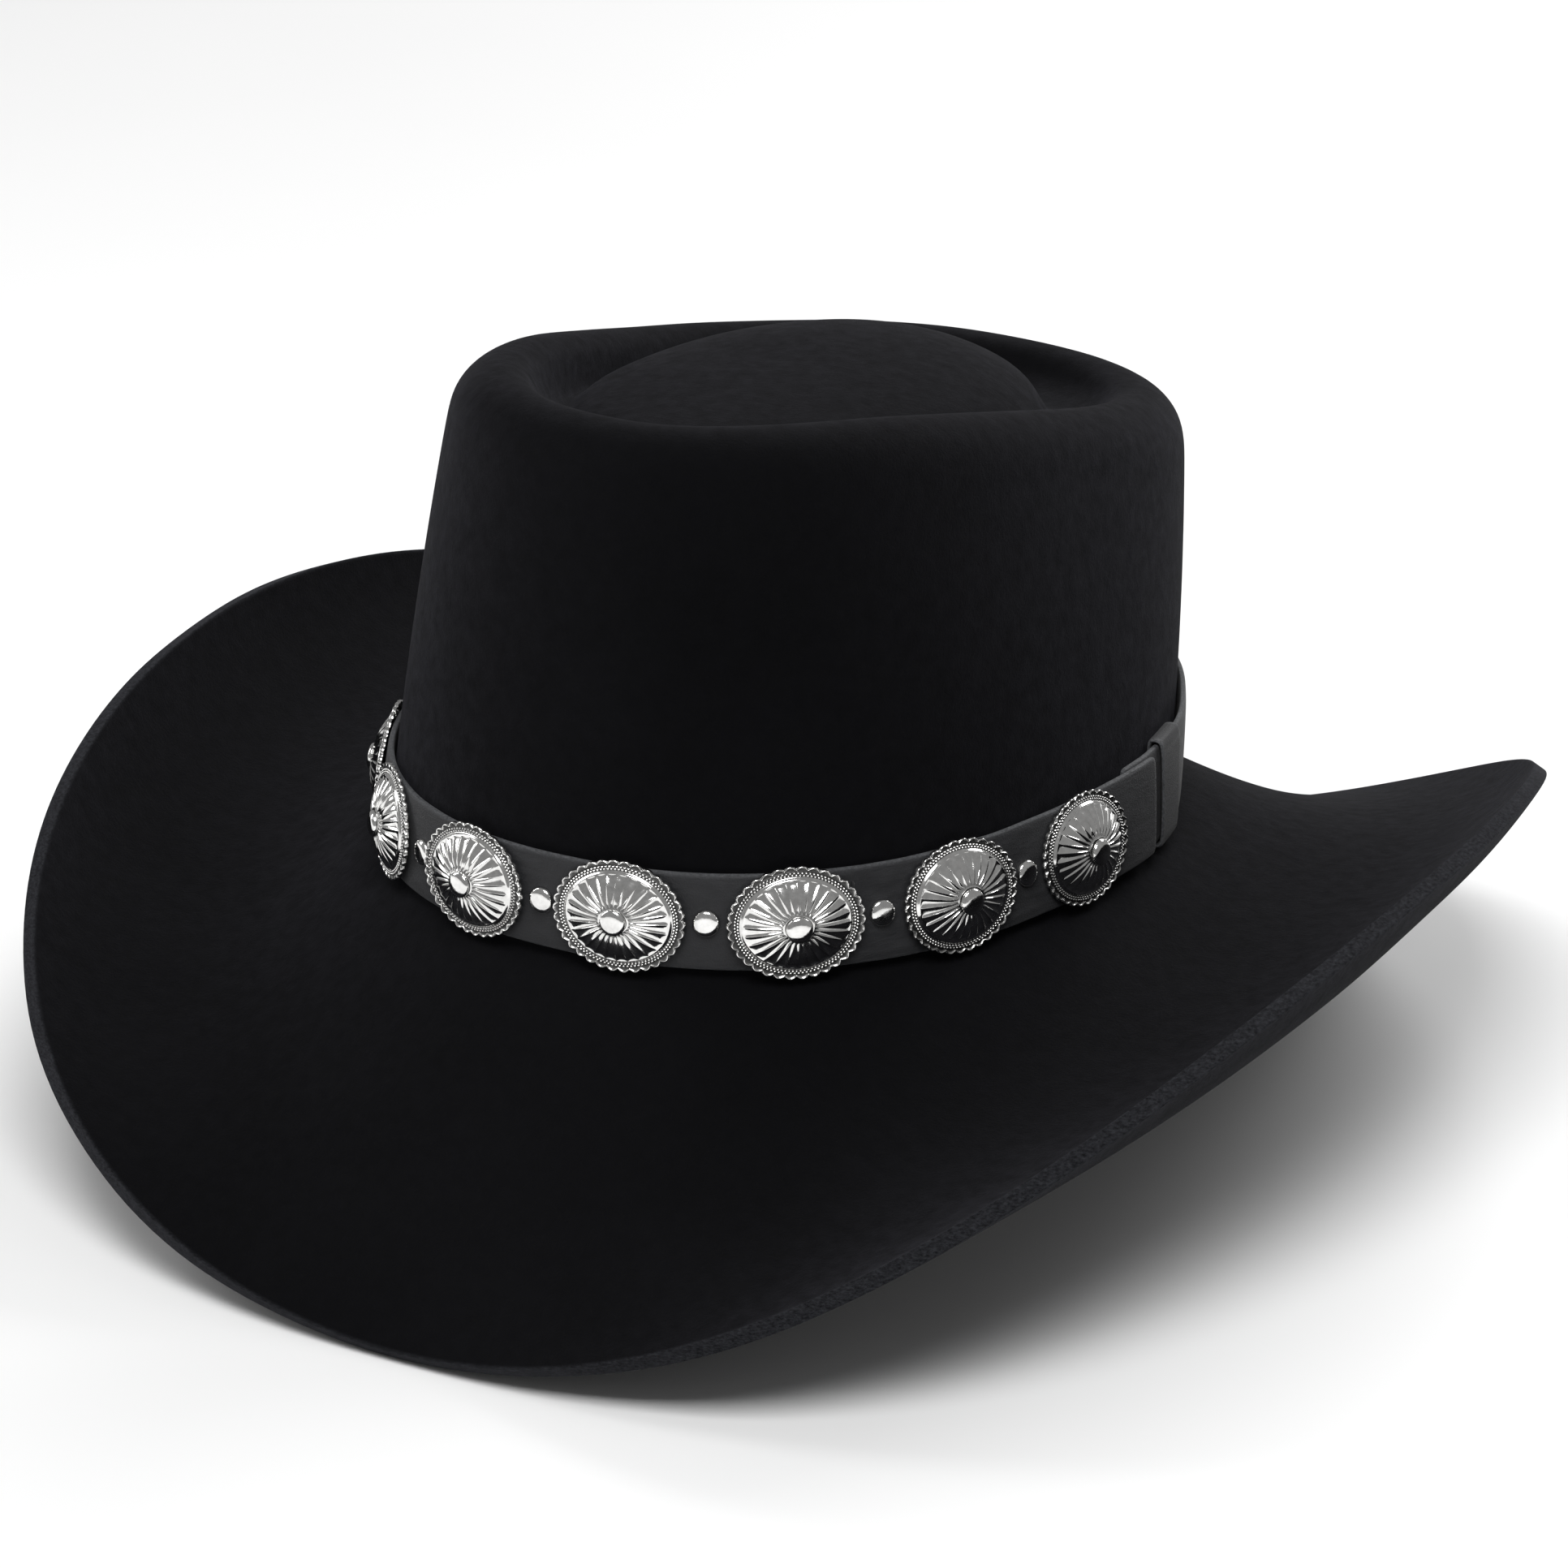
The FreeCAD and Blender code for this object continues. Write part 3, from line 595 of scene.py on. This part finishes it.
def keeper():
    """The leather loop: a rounded frame section carried along the strap."""
    low, high = STRAP_Z - KEEPER_CLEAR, STRAP_Z + STRAP_H + KEEPER_CLEAR
    near, far = KEEPER_LIFT - KEEPER_CLEAR, KEEPER_LIFT + STRAP_T + KEEPER_CLEAR
    bend = 0.9

    def ring(grow, t):
        z0, z1, o0, o1 = low - grow, high + grow, near - grow, far + grow
        b = min(bend, (o1 - o0) / 3)
        outline = [(z0 + b, o0), (z0, o0 + b), (z0, o1 - b), (z0 + b, o1)]
        outline += [(z0 + (z1 - z0) * f, o1 + 0.1) for f in (0.3, 0.5, 0.7)]
        outline += [(z1 - b, o1), (z1, o1 - b), (z1, o0 + b), (z1 - b, o0)]
        outline += [(z0 + (z1 - z0) * f, o0) for f in (0.7, 0.5, 0.3)]
        return [wall(t, z, out) for z, out in outline]

    half = KEEPER_W / 2
    path = [(-half, 0.35), (-half + 0.35, 0.02), (-half + 1.2, 0.0), (0.0, 0.0),
            (half - 1.2, 0.0), (half - 0.35, 0.02), (half, 0.35)]
    rings, raw = [], []
    for place, inset in path:
        rings.append(ring(KEEPER_T - inset, angle_at(KEEPER_AT + place)))
        raw += [1.0 if abs(place) > half - 0.5 else 0.0] * len(rings[0])
    for place, inset in reversed(path):
        rings.append(ring(inset, angle_at(KEEPER_AT + place)))
        raw += [1.0 if abs(place) > half - 0.5 else 0.2] * len(rings[0])
    points = [p for r in rings for p in r]
    faces = grid_faces(len(rings), len(rings[0]), True, True)
    obj = make("keeper_loop", points, faces, STRAP_LOOK, marks={"raw_edge": raw})
    layer = obj.data.uv_layers.new(name="UVMap")
    for corner in obj.data.loops:
        i = corner.vertex_index
        layer.data[corner.index].uv = ((i // len(rings[0])) * 0.0012, (i % len(rings[0])) * 0.002)
    fix_normals(obj)
    subdivide(obj, 2)
    return finish_piece(obj, "keeper", "strap_leather", "strap_keeper")


def band_tacks():
    """Short thread stitches that tack the strap to the felt."""
    columns = []
    beside = CONCHO_PITCH * 2 - 7
    for s in (CONCHO_SHIFT + beside, CONCHO_SHIFT - beside, AROUND / 2 - 40, AROUND / 2 + 40):
        frame_here = strap_face(s)
        low, high = STRAP_H / 2 - 6.0, STRAP_H / 2 - 3.0
        path = [(low, -0.5), (low + 0.1, 0.15), (low + 0.7, THREAD_R), ((low + high) / 2, THREAD_R + 0.05),
                (high - 0.7, THREAD_R), (high - 0.1, 0.15), (high, -0.5)]
        rings = []
        for y, z in path:
            rings.append([frame_here @ Vector((THREAD_R * math.cos(a), y, z + THREAD_R * math.sin(a) * 0.8))
                          for a in angles(8)])
        columns.append(rings)
    points, faces = [], []
    for rings in columns:
        start = len(points)
        points += [p for r in rings for p in r]
        faces += grid_faces(len(rings), 8, False, True, start)
        last = start + (len(rings) - 1) * 8
        faces += [tuple(start + k for k in range(8)), tuple(last + k for k in range(8))]
    obj = make("tack_stitches", points, faces, THREAD_LOOK)
    fix_normals(obj)
    return finish_piece(obj, "hat", "black_thread", "band_tacks")


# ---- Conchos and studs ----

SCALLOPS, BEADS, FLUTES = 34, 96, 28
CONCHO_COLUMNS = 672
# Shares of the radius: outer edge of the bead rows, of the bevel, of the fluted dome and of the boss
BEAD_EDGE, BEVEL_EDGE, DOME_EDGE, BOSS_EDGE = 0.925, 0.845, 0.785, 0.245


def concho_height(share, a):
    """Height above the rim's back, and how much painted shade the hollows get, at a share of the radius and
    an angle.
    """
    if share > BEAD_EDGE:
        arc = abs(math.cos(SCALLOPS * a / 2))
        crest = BEAD_EDGE + (1.0 - BEAD_EDGE) * (0.42 + 0.42 * arc ** 0.7)
        wire = math.exp(-((share - crest) / 0.016) ** 2)
        return 0.62 + 0.34 * wire, (1 - wire) * 0.95 * smooth((1.005 - share) / 0.01)
    if share > BEVEL_EDGE:
        lane = (share - BEVEL_EDGE) / (BEAD_EDGE - BEVEL_EDGE) * 2
        across = math.sin(math.pi * (lane % 1.0))
        along = 0.5 + 0.5 * math.cos(BEADS * a + (math.pi if lane > 1 else 0.0))
        bead = (across * along) ** 0.8
        return 0.74 + (2 - lane) * 0.10 + 0.34 * bead, 1 - smooth((bead - 0.25) / 0.35)
    if share > DOME_EDGE:
        f = (BEVEL_EDGE - share) / (BEVEL_EDGE - DOME_EDGE)
        groove = smooth(1 - f * 6) + smooth((f - 0.88) / 0.12)
        return 0.98 + 0.62 * smooth(f * 1.15), 0.95 * min(groove, 1.0)
    top = CONCHO_RISE - 0.25
    if share > BOSS_EDGE:
        f = (DOME_EDGE - share) / (DOME_EDGE - BOSS_EDGE)
        bowl = 1.6 + (top - 1.6) * math.sin(f * math.pi / 2) ** 0.9
        flute = (FLUTES * a / (2 * math.pi)) % 1.0
        hollow = 1 - (abs(flute - 0.5) * 2) ** 2.6
        reach = smooth(f * 16) * smooth((1 - f) * 14)
        return bowl - 0.30 * hollow * reach, 0.55 * smooth((f - 0.86) / 0.12) * hollow
    f = (BOSS_EDGE - share) / BOSS_EDGE
    ring = math.exp(-((f - 0.12) / 0.07) ** 2)
    return top + 0.18 * ring, 0.9 * smooth(1 - abs(f - 0.29) / 0.07) + 0.5 * smooth(1 - abs(f) / 0.04)


def concho_mesh():
    """One stamping, shared by all eight: X along the band, Y up and Z outward."""
    shares = [1.0 - (1.0 - BEAD_EDGE) * k / 12 for k in range(12)]
    shares += [BEAD_EDGE - (BEAD_EDGE - BEVEL_EDGE) * k / 16 for k in range(16)]
    shares += [BEVEL_EDGE - (BEVEL_EDGE - DOME_EDGE) * k / 7 for k in range(7)]
    shares += [DOME_EDGE - (DOME_EDGE - BOSS_EDGE) * k / 16 for k in range(16)]
    shares += [BOSS_EDGE * f for f in (1.0, 0.95, 0.9, 0.86, 0.82, 0.78, 0.74, 0.71, 0.68, 0.64, 0.55)]
    a_half, b_half = CONCHO_W / 2, CONCHO_H / 2
    points, painted_shade = [], []
    for i in range(CONCHO_COLUMNS):
        a = 2 * math.pi * i / CONCHO_COLUMNS
        reach = (abs(math.cos(SCALLOPS * a / 2)) ** 0.7 - 0.5) * 0.045
        column = [(1.0, 0.0, 0.3), (1.0, 0.3, 0.3)]
        column += [(share, *concho_height(share, a)) for share in shares]
        for share, z, dark in column:
            stretch = share * (1 + reach * smooth((share - BEAD_EDGE) / (1 - BEAD_EDGE)))
            points.append(Vector((a_half * stretch * math.cos(a), b_half * stretch * math.sin(a), z)))
            # painted shade for each point, from concho_height, with 0.3 on the outer rim's side
            painted_shade.append(min(max(dark, 0.0), 1.0))
    rows = len(shares) + 2
    faces = grid_faces(CONCHO_COLUMNS, rows, True, False)
    mesh = bpy.data.meshes.new("concho")
    mesh.from_pydata([p * MM for p in points], [], faces)
    mesh.attributes.new("painted_shade", "FLOAT", "POINT").data.foreach_set("value", painted_shade)
    mesh.update()
    mesh.shade_smooth()
    mesh.materials.append(SILVER_LOOK)
    return mesh


def cap_mesh():
    """A low domed cap with a flattened top and a rolled edge."""
    profile = [(1.0, 0.0), (1.0, 0.25), (0.985, 0.42), (0.95, 0.56), (0.88, 0.70), (0.76, 0.83), (0.6, 0.92),
               (0.4, 0.97), (0.2, 0.995)]
    count, rows = 64, len(profile)
    points = [Vector((CAP_R * r * math.cos(a), CAP_R * r * math.sin(a), CAP_H * 0.9 * z))
              for a in angles(count) for r, z in profile]
    faces = grid_faces(count, rows, True, False)
    points.append(Vector((0, 0, CAP_H * 0.9)))
    top = len(points) - 1
    faces += [(top, (i + 1) * rows - 1, ((i + 1) % count + 1) * rows - 1) for i in range(count)]
    mesh = bpy.data.meshes.new("cap")
    mesh.from_pydata([p * MM for p in points], [], faces)
    # painted shade round the cap's foot, where it meets the surface below
    painted_shade = [0.9 if i % rows == 0 and i < top else 0.0 for i in range(len(points))]
    mesh.attributes.new("painted_shade", "FLOAT", "POINT").data.foreach_set("value", painted_shade)
    mesh.update()
    mesh.shade_smooth()
    mesh.materials.append(SILVER_LOOK)
    return mesh


def place_on_band(name, mesh, s, gap):
    """A copy of a small mesh set on the band, with its place baked into the vertices."""
    matrix = strap_face(s, gap)
    matrix.translation = (matrix.translation + SHIFT) * MM
    copy = mesh.copy()
    copy.transform(matrix)
    obj = bpy.data.objects.new(name, copy)
    bpy.context.scene.collection.objects.link(obj)
    fix_normals(obj)
    return obj


def conchos_and_studs():
    stamping, cap = concho_mesh(), cap_mesh()
    for number, s in enumerate(concho_places(), 1):
        stamped = place_on_band(f"concho_stamping_{number}", stamping, s, CONCHO_GAP)
        finish_piece(stamped, "hat", "silver", f"concho_{number}")
        capped = place_on_band(f"concho_cap_{number}", cap, s, CONCHO_RISE + CONCHO_GAP - 0.05)
        finish_piece(capped, "hat", "silver", f"concho_rivet_{number}")
    for number, s in enumerate(stud_places(), 1):
        capped = place_on_band(f"stud_cap_{number}", cap, s, 0.05)
        finish_piece(capped, "hat", "silver", f"spot_stud_{number}")


# ---- Inside of the crown ----

def ring_columns(outline, count=96, unevenness=0.0, seed=5):
    """Cross-sections round the crown. outline lists (height, depth inside the felt's outer face)."""
    columns = []
    for t in angles(count):
        section = []
        for z, depth in outline:
            p = wall(t, z, -depth)
            section.append(p + outward(t, base) * unevenness * wobble(p, 16.0, seed))
        columns.append(section)
    return columns


def sweatband():
    """A leather strip round the head opening, butted at the back and turned over the reed below."""
    profile = [(SWEAT_BOTTOM, 2.9), (4.0, 2.7), (8.0, 1.7), (14.0, 1.3), (26.0, 1.3), (38.0, 1.3),
               (SWEAT_TOP, 1.3)]
    columns = []
    count = 160
    gap = 0.45 / BASE_A
    for i in range(count + 1):
        t = -math.pi + gap + (2 * math.pi - 2 * gap) * i / count
        felt_side = [(z, FELT + d) for z, d in profile]
        face_side = [(z, FELT + d + SWEAT_T) for z, d in reversed(profile)]
        face_side[0] = (SWEAT_TOP - 0.35, face_side[0][1])
        face_side[-1] = (SWEAT_BOTTOM + 0.3, face_side[-1][1])
        crest = [(SWEAT_TOP + 0.1, FELT + 1.3 + SWEAT_T / 2)]
        section = [wall(t, z, -d) for z, d in felt_side + crest + face_side]
        columns.append([p + outward(t, base) * 0.25 * wobble(p, 14.0, 7) for p in section])
    obj = loop_mesh("sweatband_strip", columns, SWEAT_LOOK, closed=False)
    subdivide(obj, 1)
    return finish_piece(obj, "hat", "sweatband_leather", "sweatband")


def cord_ring(name, centre, radius, material, slot, node, count=144, sides=10):
    """A closed cord whose middle runs through centre(t)."""
    columns = []
    for t in angles(count):
        along = (centre(t + 1e-3) - centre(t - 1e-3)).normalized()
        out = along.cross(UP).normalized()
        up = out.cross(along)
        columns.append([centre(t) + (out * math.cos(a) + up * math.sin(a)) * radius for a in angles(sides)])
    return finish_piece(loop_mesh(name, columns, material), "hat", slot, node)


def stitch_row(name, node, centre, spacing, radius, material, slot):
    """Separate stitches along a ring: each one dips into the leather at both ends."""
    length = sum((centre(a) - centre(b)).length for a, b in zip(angles(360), angles(360)[1:]))
    count = int(length / spacing)
    points, faces = [], []
    for i in range(count):
        start = len(points)
        for place, dip in ((0.06, 0.5), (0.14, 0.1), (0.35, 0.0), (0.6, 0.0), (0.8, 0.1), (0.88, 0.5)):
            t = 2 * math.pi * (i + place) / count
            along = (centre(t + 1e-3) - centre(t - 1e-3)).normalized()
            out = along.cross(UP).normalized()
            up = out.cross(along)
            middle = centre(t) + out * dip
            points += [middle + (out * math.cos(a) + up * math.sin(a)) * radius for a in angles(6)]
        faces += grid_faces(6, 6, False, True, start)
        faces += [tuple(start + k for k in range(6)), tuple(start + 30 + k for k in range(6))]
    obj = make(name, points, faces, material)
    fix_normals(obj)
    return finish_piece(obj, "hat", slot, node)


def panel(name, s_middle, half, z_low, z_high, depth, thickness, material, slot, node):
    """A small curved strip of ribbon inside the crown."""
    columns = []
    steps = 14
    for i in range(steps + 1):
        s = s_middle + half * (2 * i / steps - 1)
        section = []
        for f in (0.0, 0.02, 0.1, 0.3, 0.5, 0.7, 0.9, 0.98, 1.0):
            section.append((z_low + (z_high - z_low) * f, depth))
        section += [(z, depth + thickness) for z, _ in reversed(section)]
        columns.append([wall(angle_at(s), z, -d + 0.08 * wobble(Vector((s, z, 0)), 5, 9))
                        for z, d in section])
    obj = loop_mesh(name, columns, material, closed=False)
    return finish_piece(obj, "hat", slot, node)


BOW_DEPTH = FELT + 1.3 + SWEAT_T + 0.3


def bow():
    """Two soft ribbon loops and a knot."""
    frame_here = band_frame(AROUND / 2, -BOW_DEPTH - 2.1, BOW_HEIGHT)
    points, faces = [], []

    def ribbon(path, width, thick=0.28):
        start = len(points)
        for k, (x, y, z) in enumerate(path):
            ahead = Vector(path[min(k + 1, len(path) - 1)]) - Vector(path[max(k - 1, 0)])
            side = Vector((0, 0, 1)).cross(ahead)
            side = Vector((-ahead.y, ahead.x, 0)).normalized() if side.length < 1e-6 else side.normalized()
            lift_dir = ahead.cross(side).normalized()
            w = width(k / (len(path) - 1)) / 2
            for a, b in ((-1, -1), (-0.5, -1), (0.5, -1), (1, -1), (1, 1), (0.5, 1), (-0.5, 1), (-1, 1)):
                points.append(frame_here @ (Vector((x, y, z)) + side * w * a + lift_dir * thick / 2 * b))
        faces.extend(grid_faces(len(path), 8, False, True, start))
        faces.append(tuple(start + k for k in range(8)))
        faces.append(tuple(start + (len(path) - 1) * 8 + k for k in range(8)))

    for side in (-1, 1):
        upper = [(side * x, 0.5, z)
                 for x, z in ((1.0, -0.4), (4, -0.25), (8, -0.2), (11.4, -0.25), (12.7, -0.7))]
        lower = [(side * x, 0.5, z) for x, z in ((12.4, -1.15), (9, -1.25), (5, -1.2), (1.0, -1.0))]
        ribbon(upper + lower, lambda f: 2.4 + 5.6 * math.sin(math.pi * f) ** 0.6)
    round_knot = ((-1.9, -0.4), (-2.15, -1.0), (-1.5, -1.6), (0, -1.75), (1.5, -1.6), (2.15, -1.0),
                  (1.9, -0.4))
    knot = [(0, y, z) for y, z in round_knot]
    ribbon(knot, lambda f: 3.4)
    obj = make("ribbon_bow", points, faces, RIBBON_LOOK)
    fix_normals(obj)
    subdivide(obj, 2)
    return finish_piece(obj, "hat", "ribbon", "sweatband_bow")


def lining_rim(t, inset=0.0):
    return wall(t, LINING_TOP + LINING_TILT * math.cos(t), -FELT - 1.2 - inset)


def lining_side():
    """Satin wall with soft vertical puckers that gather towards the tip seam."""
    columns = []
    for t in angles(288):
        section = []
        shares = (0.0, 0.1, 0.2, 0.35, 0.5, 0.65, 0.8, 0.9, 1.0)
        top = lining_rim(t).z
        for side in (0.0, LINING_T):
            for share in (shares if not side else reversed(shares)):
                pucker = 0.14 * math.sin(48 * t + 2 * wobble(Vector((t * 20, share * 8, 0)), 4, 11)) * share
                z = LINING_FOOT + share * (top - LINING_FOOT)
                section.append(wall(t, z, -FELT - 0.22 - 0.26 * share - side + pucker * 0.6))
        columns.append(section)
    obj = loop_mesh("lining_wall", columns, SATIN_LOOK)
    finish_piece(obj, "hat", "satin", "lining_side")
    return obj


def tip_sheet(name, node, largest, drop, thickness, material, slot):
    """An oval panel under the crown's top, slightly puckered towards its seam."""
    rim_line = [lining_rim(t, 1.2) for t in angles(144)]
    middle = sum(rim_line, Vector()) / len(rim_line)
    shares = (1.0, 0.96, 0.9, 0.8, 0.68, 0.54, 0.4, 0.26, 0.13)
    points = []
    for i, p in enumerate(rim_line):
        rows = []
        for share in [largest * f for f in shares]:
            level = 1.0 if share > 0.5 else smooth((share - 0.06) / 0.44)
            q = middle + (p - middle) * share
            pucker = 0.12 * math.sin(36 * 2 * math.pi * i / len(rim_line)) * smooth((share - 0.6) / 0.4)
            sag = 1.5 * (1 - share ** 2) - drop + pucker
            rows.append(Vector((q.x, q.y, middle.z + (q.z - middle.z) * level + sag)))
        points += list(reversed(rows)) + [r - UP * thickness for r in rows]
    around, count = len(rim_line), 2 * len(shares)
    faces = grid_faces(around, count, True, False)
    for j in (0, count - 1):
        ring = [points[i * count + j] for i in range(around)]
        points.append(sum(ring, Vector()) / around)
        centre = len(points) - 1
        faces += [(centre, i * count + j, ((i + 1) % around) * count + j) for i in range(around)]
    obj = make(name, points, faces, material)
    fix_normals(obj)
    return finish_piece(obj, "hat", slot, node)


def lining_tip():
    obj = tip_sheet("lining_crown_tip", "lining_tip", 1.0, 0.0, LINING_T, SATIN_LOOK, "satin")
    return obj


# ---- Build ----

def build():
    felt_body()
    hatband_strap()
    keeper()
    band_tacks()
    conchos_and_studs()
    sweatband()
    cord_ring("reed", lambda t: wall(t, SWEAT_BOTTOM + REED_R, -FELT - 1.6), REED_R, REED_LOOK,
              "reed_plastic", "sweatband_reed")
    stitch_row("sweatband_stitches", "sweatband_thread",
               lambda t: wall(t, 3.2, -FELT - 2.9 - SWEAT_T - THREAD_R + 0.05), 3.6, THREAD_R, THREAD_LOOK,
               "black_thread")
    panel("back_tape", AROUND / 2, 6.0, 15.0, SWEAT_TOP - 1.0, BOW_DEPTH, 0.5, RIBBON_LOOK, "ribbon",
          "sweatband_back_tape")
    bow()
    panel("plain_tab", AROUND / 2 - 60, 9.0, SWEAT_TOP - 12.0, SWEAT_TOP + 3.0, FELT + 1.0, 0.2, TAB_LOOK,
          "tab_ribbon", "size_tab")
    lining_side()
    lining_tip()
    cord_ring("lining_welt", lambda t: lining_rim(t, LINING_T + PIPING_R) - UP * (PIPING_R + 1.0), PIPING_R,
              SATIN_LOOK, "piping", "lining_piping", 216, 12)
    tip_sheet("tip_film", "lining_tip_shield", 0.86, LINING_T + 0.15, 0.25, FILM_LOOK, "clear_film")


# ---- Stage, light and camera ----

CAMERA_AZIMUTH, CAMERA_ELEVATION, CAMERA_ROLL = 29.4, 21.74, 0.46
CAMERA_DISTANCE = 1.56     # metres from the middle of the band
CAMERA_LENS = 145.5        # millimetres, on a sensor 36 mm wide
CAMERA_SHIFT = (0.0017, -0.0139)
AIM_HEIGHT = 12.2          # millimetres above the brim break, where the camera aims


def camera():
    a, e = math.radians(CAMERA_AZIMUTH), math.radians(CAMERA_ELEVATION)
    roll = math.radians(CAMERA_ROLL)
    back = Vector((math.sin(a) * math.cos(e), -math.cos(a) * math.cos(e), math.sin(e)))
    right = Vector((math.cos(a), math.sin(a), 0))
    up = back.cross(right)
    right, up = right * math.cos(roll) + up * math.sin(roll), up * math.cos(roll) - right * math.sin(roll)
    data = bpy.data.cameras.new("camera")
    data.sensor_width = 36.0
    data.lens = CAMERA_LENS
    data.shift_x, data.shift_y = CAMERA_SHIFT
    data.clip_start, data.clip_end = 0.01, 50
    obj = bpy.data.objects.new("camera", data)
    aim = (Vector((0, 0, AIM_HEIGHT)) + SHIFT) * MM
    matrix = Matrix((right, up, back)).transposed().to_4x4()
    matrix.translation = aim + back * CAMERA_DISTANCE
    obj.matrix_world = matrix
    bpy.context.scene.collection.objects.link(obj)
    bpy.context.scene.camera = obj


def area_light(name, place, size, power, aim=(0, 0, 0.1)):
    data = bpy.data.lights.new(name, "AREA")
    data.shape = "RECTANGLE"
    data.size, data.size_y = size
    data.energy = power
    obj = bpy.data.objects.new(name, data)
    obj.location = place
    obj.rotation_euler = (Vector(aim) - Vector(place)).to_track_quat("-Z", "Y").to_euler()
    bpy.context.scene.collection.objects.link(obj)


def floor():
    m = Nodes("floor")
    m.set(Base_Color=m.ramp(m.noise(m.place(), 2.0), (0.83, 0.83, 0.83), (0.86, 0.86, 0.86)), Roughness=0.6)
    size, low = 6.0, CAD_BOX[0][2] - 0.0005
    mesh = bpy.data.meshes.new("floor")
    corners = ((-1, -1), (1, -1), (1, 1), (-1, 1))
    mesh.from_pydata([(x * size, y * size, low) for x, y in corners], [], [(0, 1, 2, 3)])
    obj = bpy.data.objects.new("floor", mesh)
    mesh.materials.append(m.material)
    bpy.context.scene.collection.objects.link(obj)


def light():
    """A white tent of light: a bright world for the floor, with large soft boxes that the metal reflects."""
    world = bpy.data.worlds.new("studio")
    bpy.context.scene.world = world
    world.use_nodes = True
    background = world.node_tree.nodes["Background"]
    background.inputs["Color"].default_value = (1, 1, 1, 1)
    background.inputs["Strength"].default_value = 0.25
    area_light("key", (0.5, -1.1, 1.9), (1.1, 0.9), 42)
    area_light("left", (-1.7, -0.5, 1.0), (0.5, 1.4), 12)
    area_light("back", (0.3, 1.6, 1.3), (1.6, 0.6), 26)
    bpy.context.scene.view_settings.view_transform = "Standard"


build()
camera()
floor()
light()
